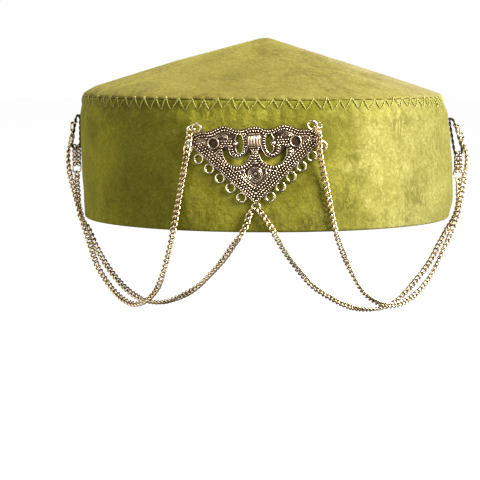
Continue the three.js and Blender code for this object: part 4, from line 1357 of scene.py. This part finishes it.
def camera():
    """The photograph's camera. It looks down and to the left by these many pixels of its focal length."""
    lens, sensor, picture = 142.5, 36, 480
    down, left = 191, 25.5
    focal = picture * lens / sensor
    pitch, yaw = math.atan(down / focal), math.atan(left / focal)
    forward = Vector((-math.sin(yaw) * math.cos(pitch), math.cos(yaw) * math.cos(pitch), -math.sin(pitch)))
    right = Vector((math.cos(yaw), math.sin(yaw), 0))
    data = bpy.data.cameras.new("camera")
    data.lens, data.sensor_width = lens, sensor
    data.clip_start, data.clip_end = 0.05, 60
    eye = bpy.data.objects.new("camera", data)
    eye.location = (0, -0.95, 0.083)
    eye.rotation_euler = Matrix((right, right.cross(forward), -forward)).transposed().to_euler()
    bpy.context.scene.collection.objects.link(eye)
    bpy.context.scene.camera = eye


def dress(piece, node):
    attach(piece, "root")
    if node:
        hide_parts(node)


camera()
studio()
stage_floor()
card("dark_card", (-1.3, -2.4), (1.3, -2.4), 0.02, 0.0)
card("left_card", (-2.2, -1.7), (-2.4, 0.6), 0.8, 1.6)
card("right_card", (2.2, -1.7), (2.4, 0.6), 0.8, 2.0)
bpy.context.scene.view_settings.view_transform = "Standard"

band_velvet = velvet(
    "velvet_band", ((0.165, 0.149, 0.037), (0.245, 0.223, 0.076), (0.335, 0.309, 0.141)),
    (0.9, 0.85, 0.3, 0.16), (0.3, 0.1, 0),
    # Painted light and shade round the band, with a painted sheen in the blue on the lit right side.
    painted_light_by_azimuth=((-180, 0.7, 0.33), (-120, 0.76, 0.33), (-75, 0.98, 0.1), (-58, 0.9, 0.1), (-46, 0.66, 0.16),
         (-38, 0.62, 0.18), (-26, 0.64, 0.2), (-21, 1.08, 0.27), (-13, 0.98, 0.27), (-5, 0.76, 0.28),
         (3, 0.57, 0.26), (13, 0.53, 0.24), (24, 0.66, 0.4), (29, 0.74, 0.52), (33, 0.93, 0.68),
         (40, 0.97, 0.78), (52, 0.72, 0.72), (75, 0.61, 0.6), (120, 0.66, 0.45), (180, 0.7, 0.33)),
    marks=((23, 52, 8), (28, 25, 7), (43, 48, 11), (24, 13, 10), (13, 3, 8), (-19, 6, 9), (-66, 44, 10),
           (135, 40, 12), (-150, 20, 12)),
    # A spot of painted light on the cloth behind the plaque's openings, painting out its shadow.
    raised=((-2.6, 35.2, 12.3),))
crown_velvet = velvet(
    "velvet_crown", ((0.17, 0.144, 0.07), (0.239, 0.202, 0.115), (0.328, 0.28, 0.197)),
    (0.95, 0.85, 0.3, 0.08), (0.7, 0.4, 0.2),
    # Painted light and shade round the crown, with a painted sheen in the blue on the lit right side.
    painted_light_by_azimuth=((-180, 0.85, 0.33), (-80, 1.08, 0.31), (-45, 0.73, 0.29), (0, 0.61, 0.29), (45, 0.71, 0.38),
         (80, 0.95, 0.8), (130, 0.86, 0.45), (180, 0.85, 0.33)))
inside_cloth = lining("lining", (0.16, 0.15, 0.05), (0.09, 0.085, 0.03))
# The plate is coloured far darker than the relief, though both are the same cast metal: dark patina and
# painted shade between the beads.
plate_bronze = antique("plate_bronze", (0.12, 0.078, 0.048), (0.065, 0.04, 0.025), (0.015, 0.009, 0.006),
                       0.0016, 0.35)
relief_bronze = antique("relief_bronze", (0.95, 0.78, 0.58), (0.7, 0.52, 0.36), (0.03, 0.018, 0.011),
                        0.0014, 0.18, rise=(0.09358, 0.09392))
ring_brass = antique("ring_brass", (0.88, 0.78, 0.56), (0.66, 0.54, 0.35), (0.05, 0.036, 0.017),
                     0.0012, 0.08, 0.85)
chain_brass = antique("chain_brass", (0.9, 0.72, 0.46), (0.6, 0.43, 0.24), (0.035, 0.023, 0.01), 0.0013, 0.15)
stitch_thread = thread("stitch_thread", (0.42, 0.4, 0.11), (0.24, 0.22, 0.05))
dark_thread = thread("dark_thread", (0.055, 0.047, 0.017), (0.018, 0.015, 0.006))

dress(velvet_band(band_velvet, inside_cloth), "side_band")
dress(velvet_crown(crown_velvet, inside_cloth), "crown")
dress(zigzag(stitch_thread), None)
dress(plate_mesh(plate_bronze), "plaque")
dress(plaque_relief(relief_bronze), None)
dress(plaque_rings(ring_brass), None)
for side_name, side_row in SIDES.items():
    sign = side_row["sign"]
    dress(jump_ring(side_name, sign, ring_brass), f"jump_ring_{side_name}")
    for made_piece, made_node, made_slot in side_fittings(side_name, ring_brass, chain_brass, dark_thread):
        dress(made_piece, made_node)
    for chain_name, carrier, holder in (
        (f"chain_{side_name}_outer", (jump_path(sign), WIRE), (oval_link(side_row)[0], WIRE)),
        (f"chain_{side_name}_inner", (tip_ring()[0], SOLDERED_WIRE), (gather_ring(side_row)[0], WIRE)),
    ):
        dress(curb_chain(chain_name, chain_brass, carrier, holder), chain_name)
